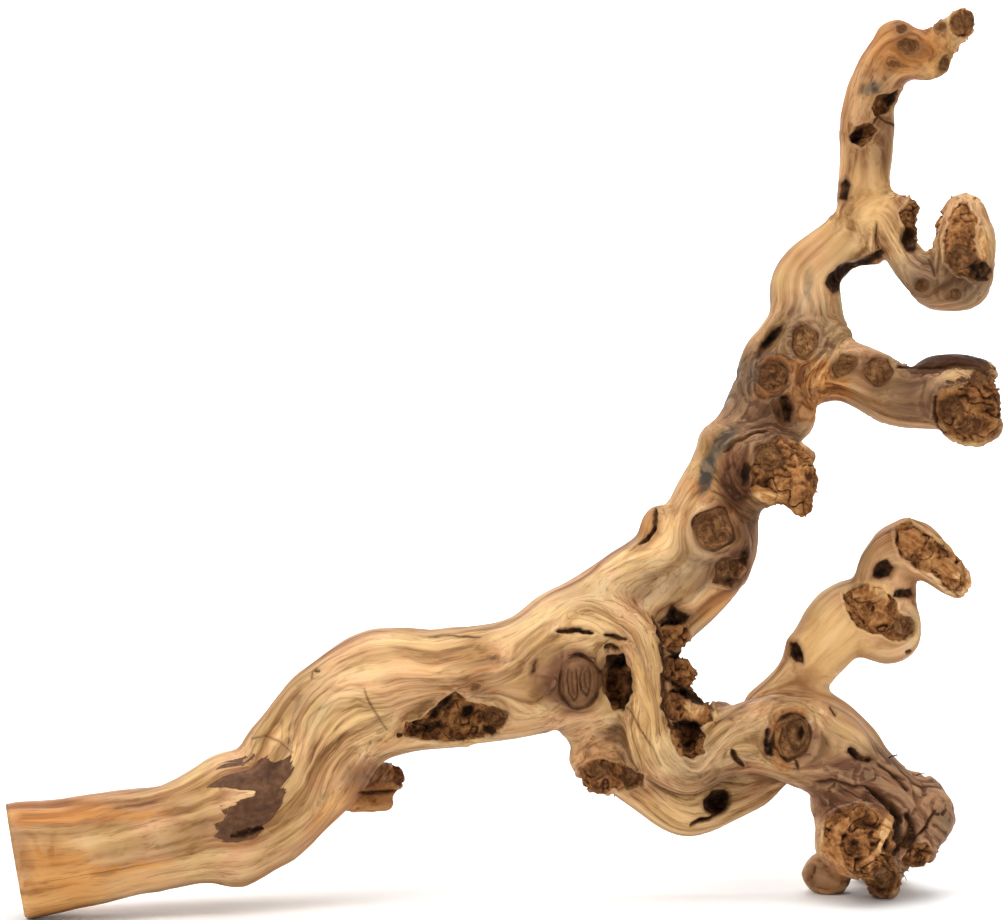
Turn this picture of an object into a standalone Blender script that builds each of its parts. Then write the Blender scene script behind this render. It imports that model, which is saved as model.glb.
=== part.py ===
"""A piece of sand-blasted grapevine: one grown, twisted limb of old wood with a sawn butt.

The vine stands on the low rim of its sawn butt and on the knuckles of the burl at its far end.
X runs along the vine from the butt to the burl, Z is up, and -Y is the side that is seen first.
Places are read as they are seen from EYE, on the plane of the butt, and moved back to their depth.
"""

import math

import bmesh
import bpy
import numpy as np
from mathutils import Vector, noise
from mathutils.bvhtree import BVHTree

# The driving dimensions, in metres. The vine is about 24 inches across.
SPAN = 0.61
EYE_HEIGHT = 0.458 * SPAN
BUTT_DEPTH = -0.082 * SPAN
EYE_DISTANCE = 2.38 * SPAN

# How finely the limbs are swept, fused and thinned.
RING_STEP = 0.004
RING_POINTS = 28
DOME_RINGS = 6
VOXEL = 0.0026
SOFTENING = 0.5
SOFTENING_ROUNDS = 9
MOST_TRIANGLES = 11400
CUT_SNAP = 1e-6

# The saw cut across the butt: a point on it and its outward direction, as (x, y, z).
CUT_POINT = (-0.2990, -0.050, 0.0365)
CUT_DIRECTION = (-0.963, -0.211, -0.168)

# Each limb is a row of stations: across, depth and height of its middle, then its radius.
LIMBS = {
    "stem": [
        (-0.3180, -0.053, 0.0320, 0.0365),
        (-0.2980, -0.050, 0.0350, 0.0364),
        (-0.2700, -0.046, 0.0388, 0.0338),
        (-0.2400, -0.041, 0.0436, 0.0326),
        (-0.2100, -0.034, 0.0488, 0.0320),
        (-0.1880, -0.027, 0.0550, 0.0345),
        (-0.1650, -0.020, 0.0615, 0.0390),
        (-0.1405, -0.014, 0.0735, 0.0365),
        (-0.1220, -0.010, 0.0955, 0.0392),
        (-0.1030, -0.007, 0.1210, 0.0372),
        (-0.0760, -0.004, 0.1372, 0.0388),
        (-0.0400, 0.000, 0.1403, 0.0367),
        (-0.0080, 0.002, 0.1435, 0.0360),
        (0.0200, 0.005, 0.1510, 0.0370),
        (0.0450, 0.010, 0.1650, 0.0405),
        (0.0750, 0.016, 0.1870, 0.0360),
        (0.1030, 0.020, 0.2065, 0.0350),
        (0.1220, 0.022, 0.2305, 0.0335),
        (0.1300, 0.022, 0.2545, 0.0268),
        (0.1440, 0.023, 0.2800, 0.0265),
        (0.1580, 0.026, 0.3065, 0.0250),
        (0.1710, 0.030, 0.3400, 0.0242),
        (0.1850, 0.034, 0.3655, 0.0230),
        (0.1835, 0.037, 0.3885, 0.0213),
        (0.2010, 0.036, 0.4065, 0.0180),
        (0.2170, 0.033, 0.4250, 0.0170),
        (0.2186, 0.030, 0.4470, 0.0163),
        (0.2205, 0.028, 0.4650, 0.0156),
        (0.2215, 0.025, 0.4840, 0.0173),
        (0.2248, 0.020, 0.5040, 0.0162),
        (0.2350, 0.014, 0.5235, 0.0165),
        (0.2460, 0.008, 0.5280, 0.0160),
        (0.2590, 0.002, 0.5205, 0.0125),
        (0.2640, 0.000, 0.5205, 0.0085),
    ],
    "tip_twig": [
        (0.2580, 0.002, 0.5220, 0.0090),
        (0.2675, -0.002, 0.5310, 0.0080),
        (0.2755, -0.006, 0.5400, 0.0085),
        (0.2790, -0.009, 0.5475, 0.0092),
    ],
    "arch": [
        (0.0300, 0.000, 0.1620, 0.0200),
        (0.0560, -0.006, 0.1780, 0.0190),
        (0.0780, -0.011, 0.1640, 0.0180),
        (0.0860, -0.014, 0.1400, 0.0150),
        (0.0880, -0.015, 0.1180, 0.0160),
        (0.0960, -0.014, 0.0990, 0.0170),
        (0.1120, -0.011, 0.0890, 0.0140),
        (0.1300, -0.008, 0.0990, 0.0170),
        (0.1480, -0.004, 0.1090, 0.0220),
        (0.1720, -0.002, 0.1110, 0.0265),
        (0.1930, 0.004, 0.1030, 0.0270),
        (0.2110, 0.012, 0.0880, 0.0245),
        (0.2330, 0.020, 0.0710, 0.0225),
        (0.2490, 0.028, 0.0600, 0.0220),
    ],
    "underside": [
        (0.0380, 0.008, 0.1470, 0.0290),
        (0.0620, 0.012, 0.1180, 0.0240),
        (0.0760, 0.015, 0.0960, 0.0215),
        (0.0940, 0.018, 0.0775, 0.0192),
        (0.1110, 0.022, 0.0690, 0.0195),
        (0.1330, 0.026, 0.0765, 0.0172),
        (0.1500, 0.028, 0.0860, 0.0185),
        (0.1650, 0.028, 0.1035, 0.0200),
        (0.1860, 0.026, 0.1160, 0.0240),
        (0.2050, 0.026, 0.1060, 0.0220),
        (0.2210, 0.030, 0.0885, 0.0190),
        (0.2400, 0.034, 0.0700, 0.0190),
    ],
    "young_shoot": [
        (0.1620, 0.030, 0.1240, 0.0180),
        (0.1800, 0.037, 0.1450, 0.0155),
        (0.1930, 0.043, 0.1640, 0.0190),
        (0.2070, 0.047, 0.1815, 0.0225),
        (0.2250, 0.047, 0.1850, 0.0230),
        (0.2320, 0.044, 0.2000, 0.0190),
        (0.2315, 0.040, 0.2140, 0.0182),
        (0.2380, 0.034, 0.2245, 0.0162),
        (0.2500, 0.028, 0.2255, 0.0172),
        (0.2630, 0.022, 0.2160, 0.0135),
        (0.2745, 0.018, 0.2055, 0.0100),
    ],
    "broken_arm": [
        (0.1420, 0.020, 0.2740, 0.0240),
        (0.1560, 0.006, 0.2730, 0.0235),
        (0.1690, -0.007, 0.2710, 0.0205),
        (0.1765, -0.015, 0.2670, 0.0152),
    ],
    "right_arm": [
        (0.1720, 0.026, 0.3300, 0.0200),
        (0.1900, 0.020, 0.3350, 0.0200),
        (0.2080, 0.014, 0.3345, 0.0192),
        (0.2240, 0.007, 0.3275, 0.0198),
        (0.2380, 0.001, 0.3195, 0.0190),
        (0.2520, -0.005, 0.3160, 0.0178),
        (0.2660, -0.012, 0.3165, 0.0185),
        (0.2790, -0.018, 0.3150, 0.0210),
        (0.2840, -0.021, 0.3140, 0.0195),
    ],
    "hook": [
        (0.2180, 0.030, 0.4300, 0.0150),
        (0.2330, 0.022, 0.4240, 0.0140),
        (0.2405, 0.014, 0.4100, 0.0120),
        (0.2515, 0.006, 0.3950, 0.0125),
        (0.2640, 0.000, 0.3865, 0.0163),
        (0.2770, -0.006, 0.3900, 0.0182),
        (0.2805, -0.010, 0.4030, 0.0192),
        (0.2798, -0.010, 0.4170, 0.0190),
        (0.2800, -0.008, 0.4280, 0.0148),
    ],
    "dead_shoot_upper": [
        (-0.1100, 0.012, 0.0900, 0.0105),
        (-0.0850, 0.018, 0.0862, 0.0100),
        (-0.0695, 0.022, 0.0855, 0.0092),
    ],
    "dead_shoot_lower": [
        (-0.1100, 0.010, 0.0725, 0.0070),
        (-0.0900, 0.014, 0.0700, 0.0066),
        (-0.0725, 0.017, 0.0700, 0.0058),
    ],
}

# Knuckles and burrs that swell out of the limbs: middle as above, then half sizes along X, Y and Z.
KNUCKLES = {
    "butt_shoulder": ((-0.1640, -0.022, 0.0605), (0.034, 0.036, 0.0415)),
    "fork_swelling": ((0.0520, 0.006, 0.1560), (0.0415, 0.036, 0.0430)),
    "square_burr": ((0.0440, -0.029, 0.1440), (0.0150, 0.014, 0.0190)),
    "round_burr": ((0.1240, 0.008, 0.2300), (0.0280, 0.028, 0.0300)),
    "left_flap": ((0.0930, 0.016, 0.2370), (0.0112, 0.014, 0.0150)),
    "left_lobe": ((0.1320, 0.022, 0.2880), (0.0146, 0.020, 0.0165)),
    "left_rib": ((0.1585, 0.028, 0.3360), (0.0155, 0.018, 0.0240)),
    "lower_cheek": ((0.0570, 0.002, 0.0980), (0.0185, 0.020, 0.0180)),
    "chin": ((0.0600, -0.014, 0.0845), (0.0150, 0.012, 0.0106)),
    "crotch_bark_top": ((0.1000, 0.008, 0.1740), (0.0105, 0.014, 0.0115)),
    "crotch_bark_middle": ((0.1050, 0.005, 0.1490), (0.0120, 0.014, 0.0100)),
    "crotch_bark_low": ((0.1100, 0.000, 0.1270), (0.0150, 0.013, 0.0125)),
    "crotch_web": ((0.1300, 0.014, 0.1120), (0.0220, 0.018, 0.0205)),
    "crotch_floor": ((0.1090, 0.008, 0.1060), (0.0120, 0.012, 0.0120)),
    "shoot_bulb": ((0.2320, 0.042, 0.1780), (0.0228, 0.023, 0.0247)),
    "shoot_lip": ((0.1810, 0.037, 0.1635), (0.0100, 0.012, 0.0120)),
    "shoot_horn": ((0.2450, 0.028, 0.2390), (0.0065, 0.008, 0.0060)),
    "shoot_shoulder": ((0.2740, 0.020, 0.2160), (0.0062, 0.008, 0.0062)),
    "eye_burr": ((0.1730, -0.014, 0.1110), (0.0200, 0.018, 0.0230)),
    "burl_collar": ((0.2050, 0.012, 0.0710), (0.0195, 0.022, 0.0180)),
    "burl_face": ((0.2160, -0.002, 0.0480), (0.0272, 0.028, 0.0260)),
    "burl_core": ((0.2250, 0.030, 0.0560), (0.0300, 0.034, 0.0300)),
    "burl_cheek": ((0.2530, 0.030, 0.0640), (0.0205, 0.026, 0.0237)),
    "burl_toe": ((0.2500, 0.022, 0.0440), (0.0140, 0.018, 0.0143)),
    "left_knuckle": ((0.1960, 0.038, 0.0270), (0.0155, 0.017, 0.0150)),
    "front_knuckle": ((0.2315, 0.020, 0.0260), (0.0115, 0.016, 0.0150)),
    "back_knuckle": ((0.2280, 0.078, 0.0400), (0.0180, 0.020, 0.0220)),
    "arm_root": ((0.1925, 0.026, 0.3530), (0.0205, 0.018, 0.0195)),
    "arm_pit": ((0.1760, 0.022, 0.3060), (0.0145, 0.018, 0.0165)),
    "arm_elbow": ((0.2280, 0.010, 0.3300), (0.0150, 0.016, 0.0163)),
    "arm_end_low": ((0.2840, -0.018, 0.3020), (0.0195, 0.017, 0.0137)),
    "arm_end_top": ((0.2745, -0.012, 0.3330), (0.0270, 0.015, 0.0130)),
    "fork_flap": ((0.2400, 0.023, 0.4280), (0.0110, 0.011, 0.0145)),
    "fork_nib_top": ((0.2490, 0.019, 0.4340), (0.0050, 0.006, 0.0050)),
    "fork_nib_low": ((0.2490, 0.017, 0.4190), (0.0050, 0.006, 0.0045)),
    "fork_web": ((0.2170, 0.032, 0.4070), (0.0175, 0.014, 0.0105)),
    "fork_armpit": ((0.2020, 0.034, 0.3965), (0.0090, 0.014, 0.0100)),
    "hook_heel": ((0.2790, -0.004, 0.3860), (0.0162, 0.015, 0.0167)),
    "crown": ((0.2385, 0.012, 0.5370), (0.0142, 0.013, 0.0115)),
    "tip_nub": ((0.2655, -0.002, 0.5425), (0.0062, 0.006, 0.0062)),
    "broken_tooth": ((0.1810, -0.015, 0.2520), (0.0080, 0.008, 0.0093)),
    "broken_crown": ((0.1780, -0.004, 0.2800), (0.0110, 0.012, 0.0095)),
    "back_burr_stem": ((-0.0550, 0.036, 0.1500), (0.0210, 0.014, 0.0190)),
    "back_burr_fork": ((0.0600, 0.044, 0.1560), (0.0230, 0.016, 0.0230)),
    "back_burr_branch": ((0.1280, 0.048, 0.2420), (0.0170, 0.013, 0.0190)),
    "back_burr_arm": ((0.1800, 0.054, 0.3380), (0.0140, 0.012, 0.0150)),
    "back_burr_butt": ((-0.2100, -0.002, 0.0560), (0.0150, 0.010, 0.0130)),
    "back_burr_top": ((0.2230, 0.038, 0.4900), (0.0100, 0.009, 0.0110)),
}

# Hollows rotted out between the strands, and the shallow dishes of the broken faces, seen from the
# front: across, height, half width, half height, tilt in degrees and depth.
HOLLOWS = {
    "long_pocket": (-0.0330, 0.1215, 0.033, 0.0150, 6, 0.018),
    "arch_hollow": (0.0680, 0.1450, 0.0095, 0.0170, 8, 0.018),
    "crotch_hollow": (0.1120, 0.1070, 0.0100, 0.0095, 0, 0.010),
    "crotch_notch": (0.1030, 0.1850, 0.0115, 0.0065, 10, 0.008),
    "eye": (0.1730, 0.1090, 0.010, 0.014, -8, 0.010),
    "under_eye": (0.1310, 0.0720, 0.008, 0.007, 20, 0.012),
    "stem_slot": (0.1710, 0.3090, 0.0055, 0.010, 18, 0.008),
    "stem_crack": (0.1620, 0.3520, 0.0055, 0.014, -40, 0.007),
    "elbow_crack": (0.2100, 0.3960, 0.014, 0.0060, 30, 0.006),
    "bulb_hollow": (0.2250, 0.1840, 0.013, 0.009, -15, 0.007),
    "shoulder_hollow": (0.2310, 0.2110, 0.008, 0.006, 0, 0.004),
    "upper_hole": (0.2180, 0.4780, 0.008, 0.007, 20, 0.009),
    "top_hole": (0.2310, 0.4975, 0.007, 0.007, 10, 0.008),
    "hook_hole": (0.2465, 0.4130, 0.0055, 0.008, 0, 0.005),
    "round_burr_side": (0.1420, 0.2180, 0.007, 0.008, 20, 0.007),
    "burl_cleft": (0.2300, 0.0710, 0.0060, 0.015, 48, 0.007),
    "burl_mouth": (0.2160, 0.0460, 0.016, 0.015, 0, 0.009),
    "burl_cave": (0.2430, 0.0450, 0.007, 0.008, 0, 0.007),
    "knob_face": (0.1660, 0.2720, 0.016, 0.016, 0, 0.007),
    "arm_face": (0.2820, 0.3140, 0.015, 0.014, 0, 0.006),
    "hook_face": (0.2810, 0.4150, 0.012, 0.021, 0, 0.005),
    "shoot_face": (0.2560, 0.2240, 0.018, 0.010, -38, 0.005),
    "chin_face": (0.0650, 0.0860, 0.015, 0.008, 0, 0.004),
}

# A hollow is full depth out to FLOOR of its half size, and ends at RIM of it. It takes in the skin
# within REACH half sizes of where it is seen.
HOLLOW_FLOOR = 0.31
HOLLOW_RIM = 1.56
HOLLOW_REACH = 2.0

# Uneven growth of the skin: the size of its waves and how far they swell, in metres.
UNEVENNESS = [(0.034, 0.0022), (0.013, 0.0009)]


def placed(across, depth, height):
    """The point at that depth that is seen at (across, height) on the plane of the butt."""
    reach = 1 + (depth - BUTT_DEPTH) / EYE_DISTANCE
    return Vector((across * reach, depth, EYE_HEIGHT + (height - EYE_HEIGHT) * reach))


def swelled(size, depth):
    """A size that is seen at that depth, as it really is."""
    return size * (1 + (depth - BUTT_DEPTH) / EYE_DISTANCE)


def clear_scene():
    for old in list(bpy.data.objects):
        bpy.data.objects.remove(old)


def smooth_route(stations):
    """Points and radii about RING_STEP apart, on a smooth curve through a limb's stations."""
    knots = np.array([(*placed(*row[:3]), swelled(row[3], row[1])) for row in stations])
    knots = np.vstack([2 * knots[0] - knots[1], knots, 2 * knots[-1] - knots[-2]])
    route = []
    for before, here, there, after in zip(knots, knots[1:], knots[2:], knots[3:]):
        count = max(2, math.ceil(np.linalg.norm((there - here)[:3]) / RING_STEP))
        for t in np.arange(count) / count:
            bend = 2 * before - 5 * here + 4 * there - after
            twist = 3 * (here - there) + after - before
            route.append(here + 0.5 * t * (there - before + t * (bend + t * twist)))
    route.append(knots[-2])
    return np.array(route)


def rings_along(stations):
    """The middle, direction and radius of each ring of a limb, with a dome on each end."""
    route = smooth_route(stations)
    middles, radii = route[:, :3], route[:, 3]
    ways = np.gradient(middles, axis=0)
    ways /= np.linalg.norm(ways, axis=1)[:, None]
    rings = [(Vector(m), Vector(w), float(r)) for m, w, r in zip(middles, ways, radii)]
    (start, start_way, start_radius), (end, end_way, end_radius) = rings[0], rings[-1]
    for k in range(1, DOME_RINGS + 1):
        turn = math.pi / 2 * k / (DOME_RINGS + 1)
        before = start - start_way * start_radius * math.sin(turn)
        after = end + end_way * end_radius * math.sin(turn)
        rings.insert(0, (before, start_way, start_radius * math.cos(turn)))
        rings.append((after, end_way, end_radius * math.cos(turn)))
    return rings


def sweep(stations):
    """Vertices and faces of a round limb along its stations."""
    rings = rings_along(stations)
    side = rings[0][1].orthogonal().normalized()
    points = []
    for middle, way, radius in rings:
        side = (side - way * side.dot(way)).normalized()
        up = way.cross(side)
        for k in range(RING_POINTS):
            angle = 2 * math.pi * k / RING_POINTS
            points.append(middle + radius * (math.cos(angle) * side + math.sin(angle) * up))
    faces = []
    for ring in range(len(rings) - 1):
        for k in range(RING_POINTS):
            a = ring * RING_POINTS + k
            b = ring * RING_POINTS + (k + 1) % RING_POINTS
            faces.append((a, b, b + RING_POINTS, a + RING_POINTS))
    last = (len(rings) - 1) * RING_POINTS
    faces.append(tuple(range(RING_POINTS - 1, -1, -1)))
    faces.append(tuple(range(last, last + RING_POINTS)))
    return points, faces


def add_knuckle(shape, middle, half_sizes):
    made = bmesh.ops.create_icosphere(shape, subdivisions=3, radius=1)["verts"]
    place = placed(*middle)
    for vert in made:
        vert.co = place + Vector(
            swelled(size, middle[1]) * part for size, part in zip(half_sizes, vert.co)
        )


def evaluated_mesh(obj, name):
    """A plain mesh of the object with its modifiers carried out."""
    bpy.context.view_layer.update()
    graph = bpy.context.evaluated_depsgraph_get()
    mesh = bpy.data.meshes.new_from_object(obj.evaluated_get(graph))
    mesh.name = name
    return mesh


def grown_form():
    """The limbs and knuckles fused into one closed skin, with softened forks."""
    shape = bmesh.new()
    for stations in LIMBS.values():
        points, faces = sweep(stations)
        made = [shape.verts.new(point) for point in points]
        for face in faces:
            shape.faces.new([made[i] for i in face])
    for middle, half_sizes in KNUCKLES.values():
        add_knuckle(shape, middle, half_sizes)
    mesh = bpy.data.meshes.new("vine_limbs")
    shape.to_mesh(mesh)
    shape.free()
    obj = bpy.data.objects.new("vine_limbs", mesh)
    bpy.context.scene.collection.objects.link(obj)
    fuse = obj.modifiers.new("fuse", "REMESH")
    fuse.mode = "VOXEL"
    fuse.voxel_size = VOXEL
    soften = obj.modifiers.new("soften", "SMOOTH")
    soften.factor = SOFTENING
    soften.iterations = SOFTENING_ROUNDS
    fused = evaluated_mesh(obj, "vine_skin")
    bpy.data.objects.remove(obj)
    return fused


def press_hollow(points, tree, hollow):
    """How far each point moves when one hollow is pressed in along the line on which it is seen."""
    across, height, half_width, half_height, tilt, depth = hollow
    eye = Vector((0, BUTT_DEPTH - EYE_DISTANCE, EYE_HEIGHT))
    way = (placed(across, 0, height) - eye).normalized()
    hit, normal, _, _ = tree.ray_cast(eye, way)
    inward = (way - normal).normalized()
    level = (Vector((1, 0, 0)) - inward * inward.x).normalized()
    upward = level.cross(inward)
    turn = math.radians(tilt)
    long_way = math.cos(turn) * level + math.sin(turn) * upward
    cross_way = inward.cross(long_way)
    offset = points - np.array(hit)
    spread = np.hypot(offset @ long_way / half_width, offset @ cross_way / half_height)
    below = np.abs(offset @ inward) / max(half_width, half_height)
    share = np.clip((HOLLOW_RIM - spread) / (HOLLOW_RIM - HOLLOW_FLOOR), 0, 1)
    share *= np.clip(HOLLOW_REACH - below, 0, 1)
    return (depth * share * share * (3 - 2 * share))[:, None] * np.array(inward)


def press_hollows(mesh):
    tree = BVHTree.FromPolygons(
        [vert.co.copy() for vert in mesh.vertices], [tuple(face.vertices) for face in mesh.polygons]
    )
    flat = np.empty(len(mesh.vertices) * 3, np.float32)
    mesh.vertices.foreach_get("co", flat)
    points = flat.reshape(-1, 3).astype(float)
    moved = points + sum(press_hollow(points, tree, hollow) for hollow in HOLLOWS.values())
    mesh.vertices.foreach_set("co", moved.astype(np.float32).ravel())
    mesh.update()


def swell_unevenly(mesh):
    """Gives the skin the uneven bulges of slow growth."""
    outward = [normal.vector.copy() for normal in mesh.vertex_normals]
    places = [vert.co.copy() for vert in mesh.vertices]
    for i, (place, normal) in enumerate(zip(places, outward)):
        swell = sum(size * noise.noise(place / wave) for wave, size in UNEVENNESS)
        places[i] = place + swell * normal
    mesh.vertices.foreach_set("co", np.array(places, np.float32).ravel())
    mesh.update()


def thinned(mesh):
    """The skin with few enough triangles for a solid, closely following the same form."""
    obj = bpy.data.objects.new("vine_skin", mesh)
    bpy.context.scene.collection.objects.link(obj)
    thin = obj.modifiers.new("thin", "DECIMATE")
    mesh.calc_loop_triangles()
    thin.ratio = MOST_TRIANGLES / len(mesh.loop_triangles)
    result = evaluated_mesh(obj, "grapevine")
    bpy.data.objects.remove(obj)
    return result


def cut_flat(shape, point, outward):
    """Cuts the shape off flat beyond a plane and closes the cut."""
    everything = shape.verts[:] + shape.edges[:] + shape.faces[:]
    cut = bmesh.ops.bisect_plane(
        shape, geom=everything, dist=CUT_SNAP, plane_co=point, plane_no=outward, clear_outer=True
    )
    rim = [edge for edge in cut["geom_cut"] if isinstance(edge, bmesh.types.BMEdge)]
    bmesh.ops.triangle_fill(shape, edges=rim, use_beauty=True, use_dissolve=False)


def sawn_and_seated(mesh):
    """Saws the butt off square and wears the knuckles flat where the vine stands."""
    shape = bmesh.new()
    shape.from_mesh(mesh)
    bmesh.ops.triangulate(shape, faces=shape.faces[:])
    saw = Vector(CUT_DIRECTION).normalized()
    cut_flat(shape, placed(*CUT_POINT), saw)
    cut_flat(shape, Vector((0, 0, 0)), Vector((0, 0, -1)))
    bmesh.ops.recalc_face_normals(shape, faces=shape.faces[:])
    bmesh.ops.triangulate(shape, faces=shape.faces[:])
    low = Vector(min(vert.co[i] for vert in shape.verts) for i in range(3))
    high = Vector(max(vert.co[i] for vert in shape.verts) for i in range(3))
    middle = (low + high) / 2
    bmesh.ops.translate(shape, verts=shape.verts[:], vec=(-middle.x, -middle.y, 0))
    shape.to_mesh(mesh)
    shape.free()


def wood_finish():
    material = bpy.data.materials.new("blasted_vine_wood")
    material.use_nodes = True
    surface = material.node_tree.nodes["Principled BSDF"]
    surface.inputs["Base Color"].default_value = (0.49, 0.32, 0.16, 1)
    surface.inputs["Roughness"].default_value = 0.6
    surface.inputs["Metallic"].default_value = 0.0
    return material


def main():
    clear_scene()
    mesh = grown_form()
    swell_unevenly(mesh)
    press_hollows(mesh)
    mesh = thinned(mesh)
    sawn_and_seated(mesh)
    mesh.shade_smooth()
    mesh.materials.append(wood_finish())
    vine = bpy.data.objects.new("grapevine", mesh)
    bpy.context.scene.collection.objects.link(vine)


main()
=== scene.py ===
import math

import bmesh
import bpy
import numpy as np
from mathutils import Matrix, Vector, noise
from mathutils.bvhtree import BVHTree


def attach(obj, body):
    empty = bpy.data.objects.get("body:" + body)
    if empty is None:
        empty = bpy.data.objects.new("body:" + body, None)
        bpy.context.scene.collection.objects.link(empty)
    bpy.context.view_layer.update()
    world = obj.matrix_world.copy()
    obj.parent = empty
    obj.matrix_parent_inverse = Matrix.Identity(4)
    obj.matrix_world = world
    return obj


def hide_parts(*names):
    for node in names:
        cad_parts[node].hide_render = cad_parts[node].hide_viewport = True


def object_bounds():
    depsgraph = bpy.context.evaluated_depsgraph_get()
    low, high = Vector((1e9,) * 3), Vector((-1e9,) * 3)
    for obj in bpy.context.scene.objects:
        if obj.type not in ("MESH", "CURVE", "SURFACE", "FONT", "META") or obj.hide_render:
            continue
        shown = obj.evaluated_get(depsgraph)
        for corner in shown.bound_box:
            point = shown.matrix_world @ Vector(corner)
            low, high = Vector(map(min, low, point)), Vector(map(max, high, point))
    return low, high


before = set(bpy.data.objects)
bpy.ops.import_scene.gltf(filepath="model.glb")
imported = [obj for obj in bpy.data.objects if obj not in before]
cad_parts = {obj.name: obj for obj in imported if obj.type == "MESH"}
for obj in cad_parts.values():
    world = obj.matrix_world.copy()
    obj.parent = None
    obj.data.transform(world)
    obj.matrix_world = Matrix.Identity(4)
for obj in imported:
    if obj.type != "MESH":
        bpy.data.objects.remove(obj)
cad_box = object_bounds()

# The table the vine is shown on. A seamless sheet of matt white card that runs up far behind it,
# one large soft light from the upper left with a weaker one on the right, two that whiten the card,
# and a camera level with the middle of the vine.
EYE = Vector((-0.00094, -1.50793, 0.27938))
EYE_DISTANCE = 1.4518
SEEN_WIDTH = 0.61488
FRAME_PIXELS = 1008

eye_lens = bpy.data.cameras.new("eye_lens")
eye_lens.lens = eye_lens.sensor_width * EYE_DISTANCE / SEEN_WIDTH
eye_lens.shift_x = -1 / FRAME_PIXELS
eye_lens.clip_end = 20
eye_camera = bpy.data.objects.new("eye_camera", eye_lens)
eye_camera.location = EYE
eye_camera.rotation_euler = (math.pi / 2, 0, 0)
bpy.context.scene.collection.objects.link(eye_camera)
bpy.context.scene.camera = eye_camera


def add_node(tree, kind, inputs=(), **settings):
    """A node with its settings made and its inputs joined to a socket or set to a value."""
    made = tree.nodes.new(kind)
    for name, value in settings.items():
        setattr(made, name, value)
    for key, value in dict(inputs).items():
        if isinstance(value, bpy.types.NodeSocket):
            tree.links.new(value, made.inputs[key])
        else:
            made.inputs[key].default_value = value
    return made


def plain_surface(name, colour, roughness, specular):
    """A material with a bare surface shader, and that shader."""
    material = bpy.data.materials.new(name)
    material.use_nodes = True
    surface = material.node_tree.nodes["Principled BSDF"]
    surface.inputs["Base Color"].default_value = (*colour, 1)
    surface.inputs["Roughness"].default_value = roughness
    surface.inputs["Specular IOR Level"].default_value = specular
    return material, surface


def linked(name, mesh):
    obj = bpy.data.objects.new(name, mesh)
    bpy.context.scene.collection.objects.link(obj)
    return obj


CARD_HALF_WIDTH = 5.0
CARD_FRONT, CARD_BEND, CARD_RADIUS, CARD_TOP = -4.0, 1.9, 0.9, 4.0
card_line = [(CARD_FRONT, 0.0), (CARD_BEND, 0.0)]
CARD_STEPS = 24
for k in range(1, CARD_STEPS + 1):
    bend = math.pi / 2 * k / CARD_STEPS
    card_line.append(
        (CARD_BEND + CARD_RADIUS * math.sin(bend), CARD_RADIUS * (1 - math.cos(bend)))
    )
card_line.append((CARD_BEND + CARD_RADIUS, CARD_TOP))
card_points = [(x, y, z) for y, z in card_line for x in (-CARD_HALF_WIDTH, CARD_HALF_WIDTH)]
card_faces = [(2 * k, 2 * k + 1, 2 * k + 3, 2 * k + 2) for k in range(len(card_line) - 1)]
card_mesh = bpy.data.meshes.new("card_sweep")
card_mesh.from_pydata(card_points, [], card_faces)
card_mesh.shade_smooth()
card_finish, _ = plain_surface("matt_card", (0.93, 0.93, 0.93), 0.9, 0.1)
card_mesh.materials.append(card_finish)
card_sweep = linked("card_sweep", card_mesh)

# Each light: its place, the place it is turned to, its width, power and colour.
WHITE_LIGHT, WARM_LIGHT = (1.0, 1.0, 1.0), (1.0, 0.985, 0.96)
VINE_MIDDLE = (0, 0.05, 0.25)
SOFT_LIGHTS = {
    "window_light": ((-1.5, -1.7, 1.9), VINE_MIDDLE, 1.3, 43, WARM_LIGHT),
    "fill_light": ((1.7, -1.6, 0.7), VINE_MIDDLE, 1.8, 13, WHITE_LIGHT),
    "top_light": ((0.1, 0.25, 2.3), VINE_MIDDLE, 1.6, 8, WHITE_LIGHT),
    "card_light": ((0.0, 0.2, 2.9), (0, 1.6, 0.4), 3.2, 86, WHITE_LIGHT),
    "wall_light": ((0.0, 0.9, 2.6), (0, 2.8, 2.2), 1.6, 110, WHITE_LIGHT),
}
for name, (place, lit_place, size, power, colour) in SOFT_LIGHTS.items():
    lamp = bpy.data.lights.new(name, "AREA")
    lamp.size, lamp.energy, lamp.color = size, power, colour
    light = bpy.data.objects.new(name, lamp)
    light.location = place
    aim = Vector(lit_place) - light.location
    light.rotation_euler = aim.to_track_quat("-Z", "Y").to_euler()
    bpy.context.scene.collection.objects.link(light)
room = bpy.data.worlds.new("pale_room")
room.use_nodes = True
room.node_tree.nodes["Background"].inputs["Color"].default_value = (1, 1, 1, 1)
room.node_tree.nodes["Background"].inputs["Strength"].default_value = 0.25
bpy.context.scene.world = room
bpy.context.scene.view_settings.view_transform = "Standard"

# The vine. One grown piece of old grapevine, its bark gone and its soft wood sand-blasted away, so
# that the hard strands stand proud and run round every knot. It was sawn off at the left, and its
# other ends are broken. It is dry bare wood, streaked golden tan, cream and grey.
WELD_GAP = 1e-5
SKIN_VOXEL = 0.0023
SKIN_SMOOTHING = 5

cad_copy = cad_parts["grapevine"].data.copy()
shape = bmesh.new()
shape.from_mesh(cad_copy)
bmesh.ops.remove_doubles(shape, verts=shape.verts[:], dist=WELD_GAP)
shape.to_mesh(cad_copy)
shape.free()
rough_copy = linked("rough_copy", cad_copy)
fuse = rough_copy.modifiers.new("fuse", "REMESH")
fuse.mode = "VOXEL"
fuse.voxel_size = SKIN_VOXEL
soften = rough_copy.modifiers.new("soften", "SMOOTH")
soften.factor = 0.5
soften.iterations = SKIN_SMOOTHING
bpy.context.view_layer.update()
skin = bpy.data.meshes.new_from_object(
    rough_copy.evaluated_get(bpy.context.evaluated_depsgraph_get())
)
bpy.data.objects.remove(rough_copy)
bpy.data.meshes.remove(cad_copy)


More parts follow.
